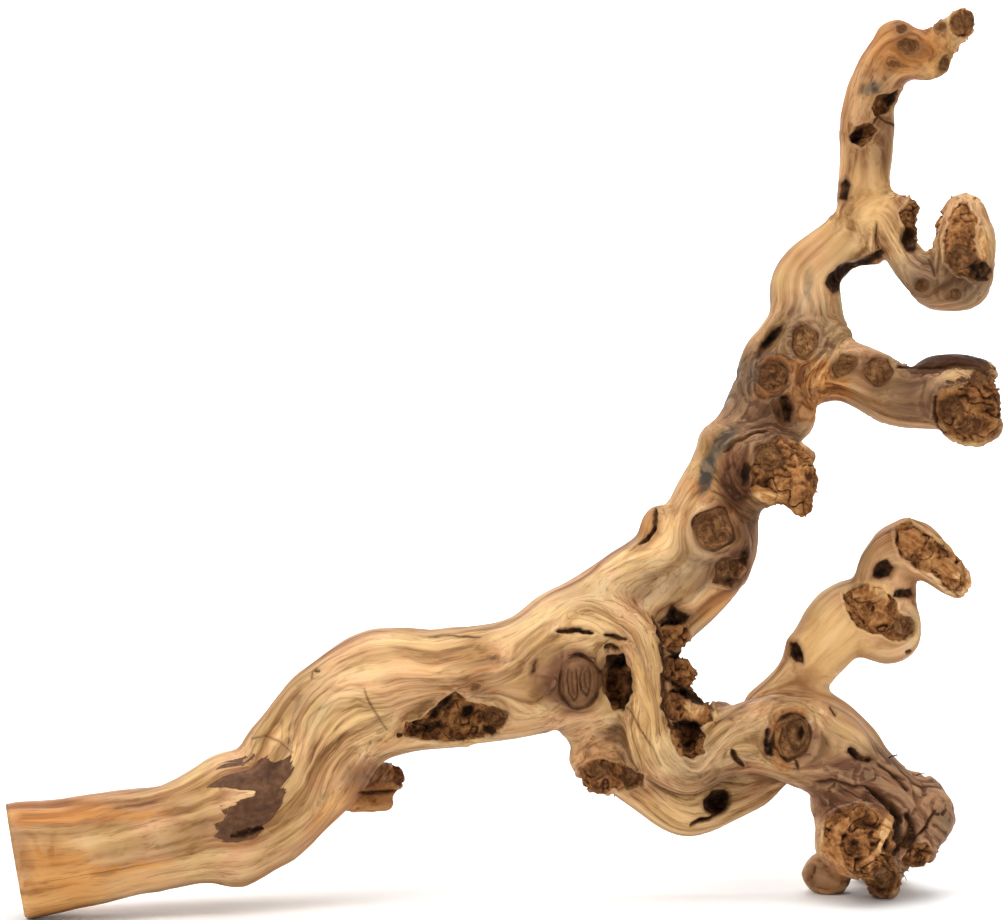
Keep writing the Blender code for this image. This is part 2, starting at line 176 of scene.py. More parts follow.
def points_of(mesh):
    flat = np.empty(len(mesh.vertices) * 3, np.float32)
    mesh.vertices.foreach_get("co", flat)
    return flat.reshape(-1, 3).astype(float)


def set_points(mesh, points):
    mesh.vertices.foreach_set("co", points.astype(np.float32).ravel())
    mesh.update()


def normals_of(mesh):
    flat = np.empty(len(mesh.vertices) * 3, np.float32)
    mesh.vertex_normals.foreach_get("vector", flat)
    return flat.reshape(-1, 3).astype(float)


def neighbours_of(mesh):
    """The two ends of every edge, and how many edges meet at each vertex."""
    flat = np.empty(len(mesh.edges) * 2, np.int32)
    mesh.edges.foreach_get("vertices", flat)
    ends = flat.reshape(-1, 2)
    return ends, np.bincount(ends.ravel(), minlength=len(mesh.vertices))


def spread_out(values, joined, rounds):
    """Values evened out with those of the neighbouring vertices."""
    ends, count = joined
    values = np.array(values, float)
    flat = values.reshape(len(values), -1)
    for _ in range(rounds):
        total = np.empty_like(flat)
        for k in range(flat.shape[1]):
            column = flat[:, k]
            total[:, k] = np.bincount(ends[:, 0], column[ends[:, 1]], len(flat))
            total[:, k] += np.bincount(ends[:, 1], column[ends[:, 0]], len(flat))
        flat = (flat + total / np.maximum(count, 1)[:, None]) / 2
    return flat.reshape(values.shape)


def seen(points):
    """Where points are seen from the eye, across and up, on the plane of the butt."""
    reach = (points[:, 1] - EYE.y) / EYE_DISTANCE
    return (points[:, 0] - EYE.x) / reach, EYE.z + (points[:, 2] - EYE.z) / reach


def smooth_step(values, low, high):
    share = np.clip((values - low) / (high - low), 0, 1)
    return share * share * (3 - 2 * share)


# The run of each limb, as it grew: across, depth, height and radius of its middle, in millimetres.
GROWN_SHIFT = Vector((0.00094, 0.00611, 0.0))
RUNS = {
    "stem": [
        (-318, -53, 32, 36.5), (-270, -46, 39, 34), (-240, -41, 44, 33), (-210, -34, 49, 32),
        (-188, -27, 55, 34.5), (-165, -20, 61.5, 39), (-140, -14, 73.5, 36.5),
        (-122, -10, 95.5, 39),
        (-103, -7, 121, 37), (-76, -4, 137, 39), (-40, 0, 140, 37), (-8, 2, 143.5, 36),
        (20, 5, 151, 37), (45, 10, 165, 40.5), (75, 16, 187, 36), (103, 20, 206.5, 35),
        (122, 22, 230.5, 33.5), (130, 22, 254.5, 27), (144, 23, 280, 26.5), (158, 26, 306.5, 25),
        (171, 30, 340, 24), (185, 34, 365.5, 23), (183.5, 37, 388.5, 21), (201, 36, 406.5, 18),
        (217, 33, 425, 17), (218.5, 30, 447, 16), (220.5, 28, 465, 15.5), (221.5, 25, 484, 17),
        (225, 20, 504, 16), (235, 14, 523.5, 16.5), (246, 8, 528, 16), (264, 0, 520.5, 10),
    ],
    "tip_twig": [(258, 2, 522, 9), (267.5, -2, 531, 8), (275.5, -6, 540, 8.5), (279, -9, 547.5, 9)],
    "arch": [
        (30, 0, 162, 20), (56, -6, 178, 19), (78, -11, 164, 18), (86, -14, 140, 15),
        (88, -15, 118, 16), (96, -14, 99, 17), (112, -11, 89, 14), (130, -8, 99, 17),
        (148, -4, 109, 22), (172, -2, 111, 26.5), (193, 4, 103, 27), (211, 12, 88, 24.5),
        (233, 20, 71, 22.5), (249, 28, 60, 22),
    ],
    "underside": [
        (38, 8, 147, 29), (62, 12, 118, 24), (76, 15, 96, 21.5), (94, 18, 77.5, 19),
        (111, 22, 69, 19.5), (133, 26, 76.5, 17), (150, 28, 86, 18.5), (165, 28, 103.5, 20),
        (186, 26, 116, 24), (205, 26, 106, 22), (221, 30, 88.5, 19), (240, 34, 70, 19),
    ],
    "young_shoot": [
        (162, 30, 124, 18), (180, 37, 145, 15.5), (193, 43, 164, 19), (207, 47, 181.5, 22.5),
        (225, 47, 185, 23), (232, 44, 200, 19), (231.5, 40, 214, 18), (238, 34, 224.5, 16),
        (250, 28, 225.5, 17), (263, 22, 216, 13.5), (274.5, 18, 205.5, 10),
    ],
    "broken_arm": [(142, 20, 274, 24), (156, 6, 273, 23.5), (169, -7, 271, 20.5),
        (176.5, -15, 267, 15)],
    "right_arm": [
        (172, 26, 330, 20), (190, 20, 335, 20), (208, 14, 334.5, 19), (224, 7, 327.5, 20),
        (238, 1, 319.5, 19), (252, -5, 316, 18), (266, -12, 316.5, 18.5), (279, -18, 315, 21),
        (284, -21, 314, 19.5),
    ],
    "hook": [
        (218, 30, 430, 15), (233, 22, 424, 14), (240.5, 14, 410, 12), (251.5, 6, 395, 12.5),
        (264, 0, 386.5, 16), (277, -6, 390, 18), (280.5, -10, 403, 19), (280, -10, 417, 19),
        (280, -8, 428, 15),
    ],
    "dead_shoot_upper": [(-110, 12, 90, 10.5), (-85, 18, 86, 10), (-69.5, 22, 85.5, 9)],
    "dead_shoot_lower": [(-110, 10, 72.5, 7), (-90, 14, 70, 6.6), (-72.5, 17, 70, 5.8)],
}
RUN_STEP = 0.004


def grown_run(stations):
    """Middles, radii, directions and a steady pair of side directions, along one limb."""
    knots = []
    for across, depth, height, radius in np.array(stations) / 1000:
        reach = (depth - GROWN_SHIFT.y - EYE.y) / EYE_DISTANCE
        place = (EYE.x + across * reach, depth - GROWN_SHIFT.y, EYE.z + (height - EYE.z) * reach)
        knots.append((*place, radius * reach))
    knots = np.array(knots)
    knots = np.vstack([2 * knots[0] - knots[1], knots, 2 * knots[-1] - knots[-2]])
    line = []
    for before, here, there, after in zip(knots, knots[1:], knots[2:], knots[3:]):
        count = max(2, math.ceil(np.linalg.norm((there - here)[:3]) / RUN_STEP))
        for t in np.arange(count) / count:
            bend = 2 * before - 5 * here + 4 * there - after
            twist = 3 * (here - there) + after - before
            line.append(here + 0.5 * t * (there - before + t * (bend + t * twist)))
    line = np.array(line)
    way = np.gradient(line[:, :3], axis=0)
    way /= np.linalg.norm(way, axis=1)[:, None]
    side = np.empty_like(way)
    turned = Vector(way[0]).orthogonal().normalized()
    for k, ahead in enumerate(way):
        ahead = Vector(ahead)
        turned = (turned - ahead * turned.dot(ahead)).normalized()
        side[k] = turned
    gone = np.concatenate([[0], np.cumsum(np.linalg.norm(np.diff(line[:, :3], axis=0), axis=1))])
    return line[:, :3], line[:, 3], way, side, np.cross(way, side), gone


runs = [grown_run(stations) for stations in RUNS.values()]
GRAIN_GIRTH = 0.03
GRAIN_ALONG = 0.045
GRAIN_MELT = 9.0


def grain_at(points):
    """Grain coordinates: two round the limb, the same all along a strand, and one along it."""
    total = np.zeros((len(points), 3))
    weights = np.zeros(len(points))
    for k, (middle, radius, way, side, up, gone) in enumerate(runs):
        apart = ((points**2).sum(1)[:, None] + (middle**2).sum(1)[None] - 2 * points @ middle.T)
        ratio = np.sqrt(np.maximum(apart, 0)) / radius
        nearest = ratio.argmin(1)
        gap = points - middle[nearest]
        around = (gap * side[nearest]).sum(1) / radius[nearest]
        above = (gap * up[nearest]).sum(1) / radius[nearest]
        along = gone[nearest] + (gap * way[nearest]).sum(1)
        weight = np.exp(-GRAIN_MELT * ratio.min(1))
        total += weight[:, None] * np.column_stack(
            [around * GRAIN_GIRTH, above * GRAIN_GIRTH, along * GRAIN_ALONG + 0.01 * k]
        )
        weights += weight
    return total / weights[:, None]


def run_direction(point):
    """The direction of the grain of the limb that a point is on."""
    best = None
    for middle, radius, way, _, _, _ in runs:
        ratio = np.linalg.norm(middle - np.array(point), axis=1) / radius
        if best is None or ratio.min() < best[0]:
            best = (ratio.min(), way[ratio.argmin()])
    return best[1]


# What the eye sees on the vine, in millimetres across and up. Side twigs that broke off and left a
# collar round a plug: middle, half sizes, tilt, height of the collar and depth of the plug, which
# is less than nothing where the plug stands proud.
PLUGS = [
    (127, 237, 13, 13, 0, 1.4, 1.6), (45, 144.5, 13, 18, 0, 0.3, -2.4),
    (207, 337, 8.5, 6, 42, 1.1, 1.6), (228, 333, 9, 8.5, -30, 1.1, 1.6),
    (183, 352, 8, 11, -8, 1.2, 1.8), (164, 330, 9, 10, 10, 1.6, 1.4),
    (175, 111, 12, 15, -6, 1.5, 0.6), (178.5, 112, 6.5, 9.5, 0, 0.8, 1.2),
    (279, 403, 8.5, 8, 0, 1.0, 1.0), (275, 381, 3.2, 3.4, 0, 0.8, 0.6),
    (254, 386, 4.5, 4.2, 0, 0.7, 1.6), (243, 178, 6.5, 6, 0, 1.0, 2.4),
    (246, 532, 7, 4.5, -15, 0.9, 1.4), (237, 521, 4, 2, 0, 0.5, 0.8),
    (268, 521, 3.6, 5.4, -15, 1.2, 1.4), (282, 547.5, 3.6, 3.6, 0, 0.7, 1.0),
    (275, 547, 2.4, 4, 0, 0.4, 1.4), (266, 543.5, 3, 3, 0, 0.5, 0.8),
    (242, 542, 3.4, 2.8, 0, 0.6, 1.2), (-18, 141, 3, 2.2, 0, 0.5, 0.6),
    (-5, 123, 7, 5.5, 10, 1.4, 2.0), (135, 213, 8, 6, 35, 0.8, 1.2), (290, 330, 6, 5, 0, 0.9, 1.4),
    (284, 300, 7, 5, 0, 0.9, 1.4), (272, 311, 7.5, 7, 0, 1.2, 1.8), (161, 281, 9, 8, -30, 1.6, 2.4),
    (76, 86, 6, 5, 0, 1.0, 1.4), (58, 90, 6, 5, 0, 1.0, 1.2), (231, 24, 6.5, 7, 0, 1.0, 1.4),
]
# Hollows between strands: how deep they are, whether they are black or brown inside, and corners.
# Black inside is a painted shadow; brown hollows are coloured as torn wood.
SHADED_BLACK, BROWN = True, False
POCKETS = {
    "long_pocket": (6, BROWN, [(-60, 119), (-52, 121), (-44, 128), (-36, 136), (-30, 139),
        (-23, 133), (-13, 130), (-3, 128), (1, 122), (-2, 116), (-10, 111), (-26, 107), (-45, 108),
        (-58, 110), (-63, 113)]),
    "upper_cave": (3, SHADED_BLACK, [(-46, 121), (-43, 128), (-36, 135), (-31, 137), (-31, 132),
        (-38, 127), (-41, 121)]),
    "lower_cave": (3, SHADED_BLACK, [(-54, 113), (-48, 119), (-38, 121), (-36, 116), (-45, 113)]),
    "middle_cave": (3, SHADED_BLACK, [(-27, 122), (-24, 129), (-19, 130), (-18, 125), (-22, 121)]),
    "right_cave": (3, SHADED_BLACK, [(-14, 113), (-12, 118), (-6, 117), (-4, 113), (-9, 111)]),
    "arch_hollow": (8, BROWN, [(59, 149), (62, 160), (72, 161), (77, 151), (78, 138), (73, 127),
        (66, 128), (60, 139)]),
    "arch_hollow_top": (4, SHADED_BLACK, [(61, 150), (62, 160), (72, 161), (76, 153), (71, 152),
        (66, 151)]),
    "arch_hollow_side": (4, SHADED_BLACK, [(74, 152), (78, 149), (78.5, 138), (73, 127), (71, 131),
        (75, 139)]),
    "crotch_recess": (6, SHADED_BLACK, [(92, 179), (98, 184), (102, 191), (107, 187), (115, 185),
        (110, 180), (101, 178)]),
    "crotch_gap": (5, SHADED_BLACK, [(100, 117), (108, 122), (119, 119), (121, 112), (114, 114),
        (106, 113)]),
    "crotch_hollow": (5, BROWN, [(101, 116), (108, 119), (116, 118), (122, 110), (121, 101),
        (115, 97), (107, 99), (102, 107)]),
    "cluster_gap": (5, SHADED_BLACK, [(100, 139), (108, 141), (118, 138), (127, 133), (120, 130),
        (108, 134)]),
    "cluster_cleft": (4, SHADED_BLACK, [(97, 158), (104, 162), (113, 164), (112, 158), (104, 157)]),
    "shoot_hole": (4, SHADED_BLACK, [(173, 160), (174, 168), (178, 169), (182, 162), (182, 155),
        (178, 156)]),
    "low_hole": (5, SHADED_BLACK, [(121, 72), (126, 78), (135, 79), (138, 74), (134, 66), (128, 62),
        (122, 66)]),
    "stem_slot": (5, SHADED_BLACK, [(168, 318), (172, 319), (176, 310), (174, 302), (170, 303),
        (168, 311)]),
    "stem_groove": (3, SHADED_BLACK, [(170, 363), (169, 358), (162, 349), (155, 341), (152, 341),
        (157, 350), (163, 359)]),
    "fork_slot": (5, SHADED_BLACK, [(195, 387), (202, 397.5), (211, 400), (219, 402.5), (230, 409.5),
        (233, 406), (218, 395), (206, 384), (200, 381)]),
    "hook_hollow": (4, SHADED_BLACK, [(242, 412), (243, 420), (247, 423), (250, 418), (252, 409),
        (250, 405), (245, 406)]),
    "top_cave": (3, SHADED_BLACK, [(231, 499), (233, 503), (240, 505), (237, 498), (234, 494)]),
    "upper_cleft": (3, SHADED_BLACK, [(211, 477), (213.5, 481), (218, 481), (218, 475), (215, 472),
        (212, 473)]),
    "top_pocket": (4, BROWN, [(223, 494), (226, 501), (233, 503), (240, 505), (236, 498),
        (232, 491), (226, 490)]),
    "upper_pocket": (4, BROWN, [(211, 477), (214, 483), (222, 485), (227, 481), (223, 474),
        (217, 471), (212, 473)]),
    "side_pocket": (3, SHADED_BLACK, [(204, 439), (205, 448), (208, 452), (211, 447), (208, 438)]),
    "burr_hole_top": (4, SHADED_BLACK, [(142, 217), (143, 224), (147, 226), (149, 220), (147, 214)]),
    "burr_hole_low": (3, SHADED_BLACK, [(132, 205), (137, 209), (142, 207), (138, 202)]),
    "burl_cave": (3.5, SHADED_BLACK, [(242.8, 63.6), (246, 57.2), (244.2, 50.8), (239.7, 44.3),
        (241.6, 41.8), (248, 44.3), (251, 48), (251, 54), (248.6, 59.8), (246, 65)]),
    "knob_shadow": (3, SHADED_BLACK, [(144, 262), (142, 270), (146, 279), (150, 275), (149, 265)]),
    "hook_side": (3, SHADED_BLACK, [(283, 392), (284, 398), (292, 400), (297, 396), (294, 389),
        (288, 388)]),
    "shoot_dark": (2.5, SHADED_BLACK, [(223, 208), (226, 216), (233, 219), (238, 214), (235, 208),
        (228, 206)]),
    "shoot_groove": (3, SHADED_BLACK, [(236, 196), (238, 200), (248, 202), (249, 197), (243, 195)]),
    "burl_notch": (3, SHADED_BLACK, [(208, 101), (211, 105), (219, 99), (226, 97), (222, 94), (214, 96)]),
    "eye_pupil": (4, SHADED_BLACK, [(178.5, 108), (177.5, 113), (179.5, 117), (181.5, 118), (182.5, 113),
        (181, 108)]),
    "eye_corner": (3, SHADED_BLACK, [(159, 99), (157, 107), (159, 115), (162, 117), (161, 108),
        (164, 99)]),
    "collar_gap": (2, SHADED_BLACK, [(15.5, 148), (16, 155), (19, 157), (19, 150)]),
}
# Fine slits and shakes: half width, depth and the points they run through.
SLITS = [
    (0.2, 0.4, [(-86, 140), (-83, 132), (-77, 122), (-72, 115)]),
    (0.15, 0.4, [(-154, 109), (-146, 111), (-138, 108), (-130, 101)]),
    (0.3, 0.5, [(-118, 146), (-117, 150), (-114, 152)]),
    (0.5, 0.6, [(-47, 171), (-34, 172.5), (-15, 171)]),
    (1.6, 2.6, [(31, 175), (43, 175.5), (54, 174)]),
    (1.3, 2.2, [(60, 173), (68, 171.5), (75, 169.5)]),
    (1.4, 2.0, [(60, 165), (65, 165.5), (70, 164)]),
    (2.6, 3.4, [(-168, 50), (-158, 52), (-147, 55)]),
    (2.3, 4.0, [(220, 81), (227, 75), (234, 69), (240, 62), (239, 53), (239, 45), (237, 38)]),
    (1.8, 3.0, [(209, 104), (215, 98.5), (223, 95.5)]),
    (1.0, 1.8, [(234, 89), (241, 83), (246, 77)]),
    (1.1, 1.8, [(251, 40), (256, 41), (261, 39)]),
    (1.3, 2.4, [(90, 184), (95, 170), (97, 157), (96.5, 140), (97, 127), (102, 113)]),
    (1.4, 2.4, [(95, 149), (102, 143), (111, 138)]),
    (1.1, 2.0, [(97, 164.5), (104, 161), (112, 160)]),
    (0.8, 1.2, [(228, 490), (225, 485), (220, 481)]),
    (1.5, 3.0, [(81, 228), (87, 231), (91.5, 238), (92, 250)]),
    (1.6, 2.4, [(211, 46), (215, 46)]),
    (1.9, 2.4, [(222, 45), (226, 45)]),
    (1.4, 2.0, [(213, 36), (217, 36)]),
    (0.8, 1.2, [(126, 242), (127, 236), (129, 231)]),
    (0.5, 0.8, [(124, 262), (132, 258), (145, 249)]),
    (0.9, 1.6, [(133, 284), (140, 290), (150, 295), (160, 297)]),
    (1.8, 2.4, [(138.5, 103), (140.5, 97), (146, 92.5)]),
    (0.8, 1.2, [(226, 490), (232, 486), (239, 483)]),
    (1.6, 2.4, [(113, 55.5), (119, 59.5), (128, 62.5)]),
    (0.8, 1.4, [(198, 129), (202, 123)]),
    (0.9, 1.2, [(174, 99), (178, 95), (179, 90)]),
    (0.35, 0.6, [(75, 129), (82, 116), (90, 104), (95, 93)]),
    (1.3, 2.0, [(238, 335.5), (250, 336), (262, 335.5), (276, 338), (290, 336)]),
    (1.0, 1.6, [(263, 318), (262, 310), (264, 300), (270, 295)]),
    (0.7, 1.0, [(227, 424), (226, 413), (228, 406)]),
    (0.7, 1.2, [(258, 402), (261, 396), (262, 391)]),
    (0.7, 1.0, [(-116, 150), (-113, 151)]),
    (1.1, 2.0, [(-94, 76), (-80, 76.5), (-66, 77.5)]),
    (1.2, 1.6, [(244, 162), (248, 163)]),
    (0.5, 0.8, [(38.5, 152), (38, 144), (39, 137), (42, 132.5), (44, 137), (44.5, 145), (43, 152)]),
    (0.3, 0.5, [(41, 150), (40.5, 143), (42, 137)]),
    (0.5, 0.8, [(47, 153), (46, 146), (47, 139), (49.5, 136), (52, 141), (52.5, 148), (50, 154)]),
    (0.3, 0.5, [(49, 150), (49, 144), (50, 140)]),
    (0.35, 0.5, [(34, 158), (34.5, 146), (36, 134), (41, 127.5), (49, 128)]),
    (0.35, 0.5, [(38, 160), (47, 161), (55, 158), (57, 148), (54, 133)]),
    (0.8, 1.2, [(243, 84), (236, 88), (226, 95)]),
    (0.9, 1.4, [(262, 66), (257, 56), (250, 50)]),
    (0.8, 1.2, [(233, 106), (240, 98), (247, 88)]),
    (0.9, 1.5, [(189, 83), (200, 84), (212, 80), (221, 80)]),
    (1.6, 2.4, [(-66, 111.5), (-62.5, 111.5)]),
]
# Patches of dark inner bark that the blasting left.
BARK_PATCHES = [
    [(-178, 92), (-167, 96), (-155, 99), (-145, 101), (-150, 97.5), (-163, 93.5), (-174, 91)],
    [(-186, 78), (-178, 84), (-168, 88), (-158, 90), (-150, 96), (-140, 97), (-130, 99),
        (-133, 93), (-127, 90), (-135, 84), (-146, 81), (-152, 78), (-158, 79.5), (-165, 77.5),
        (-175, 80)],
    [(-176, 69), (-167, 68), (-160, 73), (-150, 76), (-143, 81), (-134, 80), (-136, 70),
        (-141, 60), (-149, 55), (-152, 49), (-163, 46), (-172, 47), (-178, 49), (-173, 53),
        (-178, 57), (-170, 60)],
    [(243, 335), (252, 342), (266, 346), (280, 348), (292, 342), (300, 334), (290, 333),
        (276, 335), (262, 331), (252, 331)],
    [(269, 329), (286, 329), (284, 326), (270, 326)],
]
# Faces where a limb tore off, with splintered wood: how rough they are, and their corners.
BREAKS = [
    (2.4, [(150, 263), (151, 275), (157, 287), (166, 293), (178, 291), (187, 282), (192, 270),
        (191, 256), (184, 243), (176, 247), (168, 253), (156, 257)]),
    (2.0, [(261, 305), (263, 318), (270, 324), (281, 322), (284, 312), (280, 302), (270, 298)]),
    (2.2, [(280, 300), (284, 312), (281, 325), (288, 332), (298, 330), (303, 316), (304, 306),
        (299, 295), (288, 290), (276, 291), (270, 297)]),
    (1.3, [(268, 400), (267, 414), (271, 428), (277, 436), (283, 436), (288, 426), (286, 414),
        (288, 404), (293, 398), (294, 391), (286, 389), (277, 392)]),
    (1.8, [(237, 229), (239, 238), (246, 242), (254, 237), (262, 230), (272, 224), (280, 216),
        (283, 205), (277, 197), (268, 203), (262, 209), (250, 214), (241, 221)]),
    (1.9, [(206, 198), (216, 203), (230, 201), (238, 194), (241, 186), (251, 181), (249, 172),
        (240, 169), (227, 173), (215, 177), (208, 186)]),
    (2.6, [(194, 58), (202, 66), (216, 69), (229, 65), (237, 58), (240, 46), (237, 36), (243, 20),
        (232, 12), (221, 19), (211, 28), (200, 33), (194, 45)]),
    (1.8, [(45, 88), (50, 95), (60, 97), (72, 93), (84, 87), (85, 81), (74, 80), (64, 79),
        (57, 74), (47, 79)]),
    (1.0, [(126, 205), (129, 213), (136, 217), (144, 219), (146, 213), (142, 206), (135, 202)]),
    (2.6, [(92, 176), (98, 182), (107, 181), (113, 174), (110, 165), (102, 163), (95, 168)]),
    (2.8, [(97, 158), (106, 162), (117, 156), (118, 148), (113, 139), (104, 140), (98, 148)]),
    (2.8, [(97, 136), (104, 141), (115, 138), (126, 130), (127, 121), (116, 115), (104, 116),
        (98, 124)]),
    (1.4, [(240, 430), (250, 440), (255, 434), (250, 426), (254, 420), (250, 414), (243, 424)]),
    (1.4, [(272, 541), (272, 550), (277, 556), (285, 554), (287, 545), (283, 538), (276, 537)]),
    (1.6, [(242, 34), (246, 44), (256, 46), (262, 40), (256, 31), (248, 29)]),
    (1.0, [(-68, 94), (-62, 92), (-58, 84), (-64, 79), (-68, 82)]),
]
# Plates of clean pale wood that split off within the tears: how proud they are, and their corners.
PLATES = [
    (1.4, [(210, 62), (199, 55), (193, 44), (194, 35), (201, 28), (212, 26), (208, 33), (204, 41),
        (206, 51), (210, 57)]),
    (1.6, [(231, 64), (235, 65), (238, 61), (236, 54), (231, 46), (230, 41), (225, 35), (218, 34),
        (221, 37), (226, 42), (229, 48), (225, 49), (224, 51), (229, 56), (231, 60)]),
    (1.4, [(153, 265), (150, 262), (152, 257.5), (159, 253), (168, 253), (173, 258), (168, 259),
        (160, 262)]),
    (1.0, [(168, 276), (174, 272), (177, 265), (184, 267), (182, 276), (177, 274)]),
    (1.5, [(106, 133), (112, 137), (119, 131), (126, 127), (123, 120), (116, 117), (112, 124)]),
    (1.2, [(211, 200), (222, 203), (232, 200), (235, 193), (231, 189), (227, 192), (220, 196),
        (212, 195)]),
    (1.0, [(240, 236), (250, 238), (257, 232), (255, 226), (246, 224), (240, 228)]),
    (1.0, [(262, 218), (270, 220), (279, 214), (278, 206), (270, 208), (262, 212)]),
    (0.6, [(290, 423), (295, 413), (295, 402), (290, 400), (289, 407), (288, 415)]),
    (1.4, [(162, 121), (168, 128), (176, 130), (183, 128), (186, 122), (181, 124), (174, 124),
        (169, 119), (167, 108), (170, 98), (164, 102), (161, 112)]),
    (0.8, [(94, 177), (101, 180), (110, 178), (108, 175), (100, 175)]),
    (1.3, [(153, 326), (154, 320), (160, 317), (168, 320), (173, 326), (168, 323.5), (160, 321.5)]),
    (1.3, [(154, 336), (159, 342), (168, 343), (175, 338), (175, 333), (170, 338), (162, 338)]),
    (1.2, [(166, 90), (163, 96), (164, 104), (168, 99), (172, 94), (178, 93), (173, 89)]),
    (1.0, [(262, 316), (266, 322), (274, 324), (280, 320), (274, 319), (267, 316)]),
]
# The side that is away from the eye has the same kinds of marks, in its own places.
BACK_PLUGS = [
    (-210, 56, 10, 8, 10, 1.2, 1.6), (-60, 152, 13, 11, 0, 1.6, 2.0),
    (60, 158, 14, 15, 0, 1.8, 2.2), (128, 244, 10, 12, 10, 1.5, 2.0),
    (182, 345, 8, 10, 0, 1.3, 1.8), (224, 497, 6, 7, 0, 1.0, 1.4), (-120, 96, 5, 4, 0, 0.8, 1.0),
    (150, 300, 5, 7, 20, 0.9, 1.4), (205, 118, 9, 8, 0, 1.3, 1.8), (236, 62, 12, 11, 0, 1.8, 2.4),
    (222, 190, 8, 8, 0, 1.2, 1.6), (290, 322, 10, 10, 0, 1.4, 2.0), (100, 84, 6, 5, 0, 0.9, 1.4),
]
BACK_POCKETS = {
    "back_long_hollow": (5, SHADED_BLACK, [(-20, 128), (-4, 138), (18, 140), (30, 134), (16, 127),
        (-4, 122)]),
    "back_stem_slot": (4, SHADED_BLACK, [(120, 270), (126, 284), (131, 282), (128, 268)]),
    "back_fork_slot": (4, SHADED_BLACK, [(80, 196), (92, 210), (98, 208), (90, 192)]),
    "back_butt_slot": (3, SHADED_BLACK, [(-190, 38), (-170, 46), (-150, 50), (-168, 41)]),
    "back_arm_slot": (3, SHADED_BLACK, [(166, 318), (170, 328), (175, 326), (172, 314)]),
    "back_burl_cave": (5, SHADED_BLACK, [(236, 40), (244, 50), (252, 46), (248, 36)]),
    "back_top_slot": (3, SHADED_BLACK, [(216, 440), (219, 454), (224, 452), (222, 438)]),
}
BACK_SLITS = [
    (0.8, 1.4, [(-150, 76), (-130, 92), (-116, 114)]),
    (0.7, 1.2, [(-90, 150), (-76, 138), (-66, 122)]),
    (0.9, 1.6, [(20, 170), (40, 178), (62, 188)]),
    (0.8, 1.4, [(148, 330), (156, 346), (166, 360)]),
    (0.8, 1.2, [(-270, 40), (-250, 42), (-232, 46)]),
    (0.8, 1.4, [(130, 98), (146, 108), (160, 122)]),
    (0.7, 1.2, [(205, 402), (214, 416), (222, 430)]),
    (0.7, 1.0, [(240, 400), (252, 388), (266, 380)]),
]
BACK_BARK = [
    [(-240, 62), (-222, 68), (-204, 66), (-196, 58), (-214, 54), (-230, 56)],
    [(-100, 108), (-84, 120), (-70, 116), (-80, 104), (-92, 100)],
    [(96, 222), (104, 232), (112, 228), (106, 214), (98, 212)],
    [(262, 338), (274, 344), (286, 338), (278, 332), (266, 332)],
]
BACK_BREAKS = [
    (2.2, [(150, 262), (158, 288), (178, 290), (190, 268), (184, 248), (164, 252)]),
    (2.0, [(276, 302), (282, 326), (300, 328), (306, 306), (292, 292)]),
    (2.0, [(268, 398), (268, 430), (282, 440), (296, 420), (292, 392)]),
    (2.4, [(214, 34), (212, 62), (232, 72), (252, 60), (250, 38), (234, 24)]),
    (1.4, [(276, 538), (274, 556), (290, 558), (292, 540)]),
]
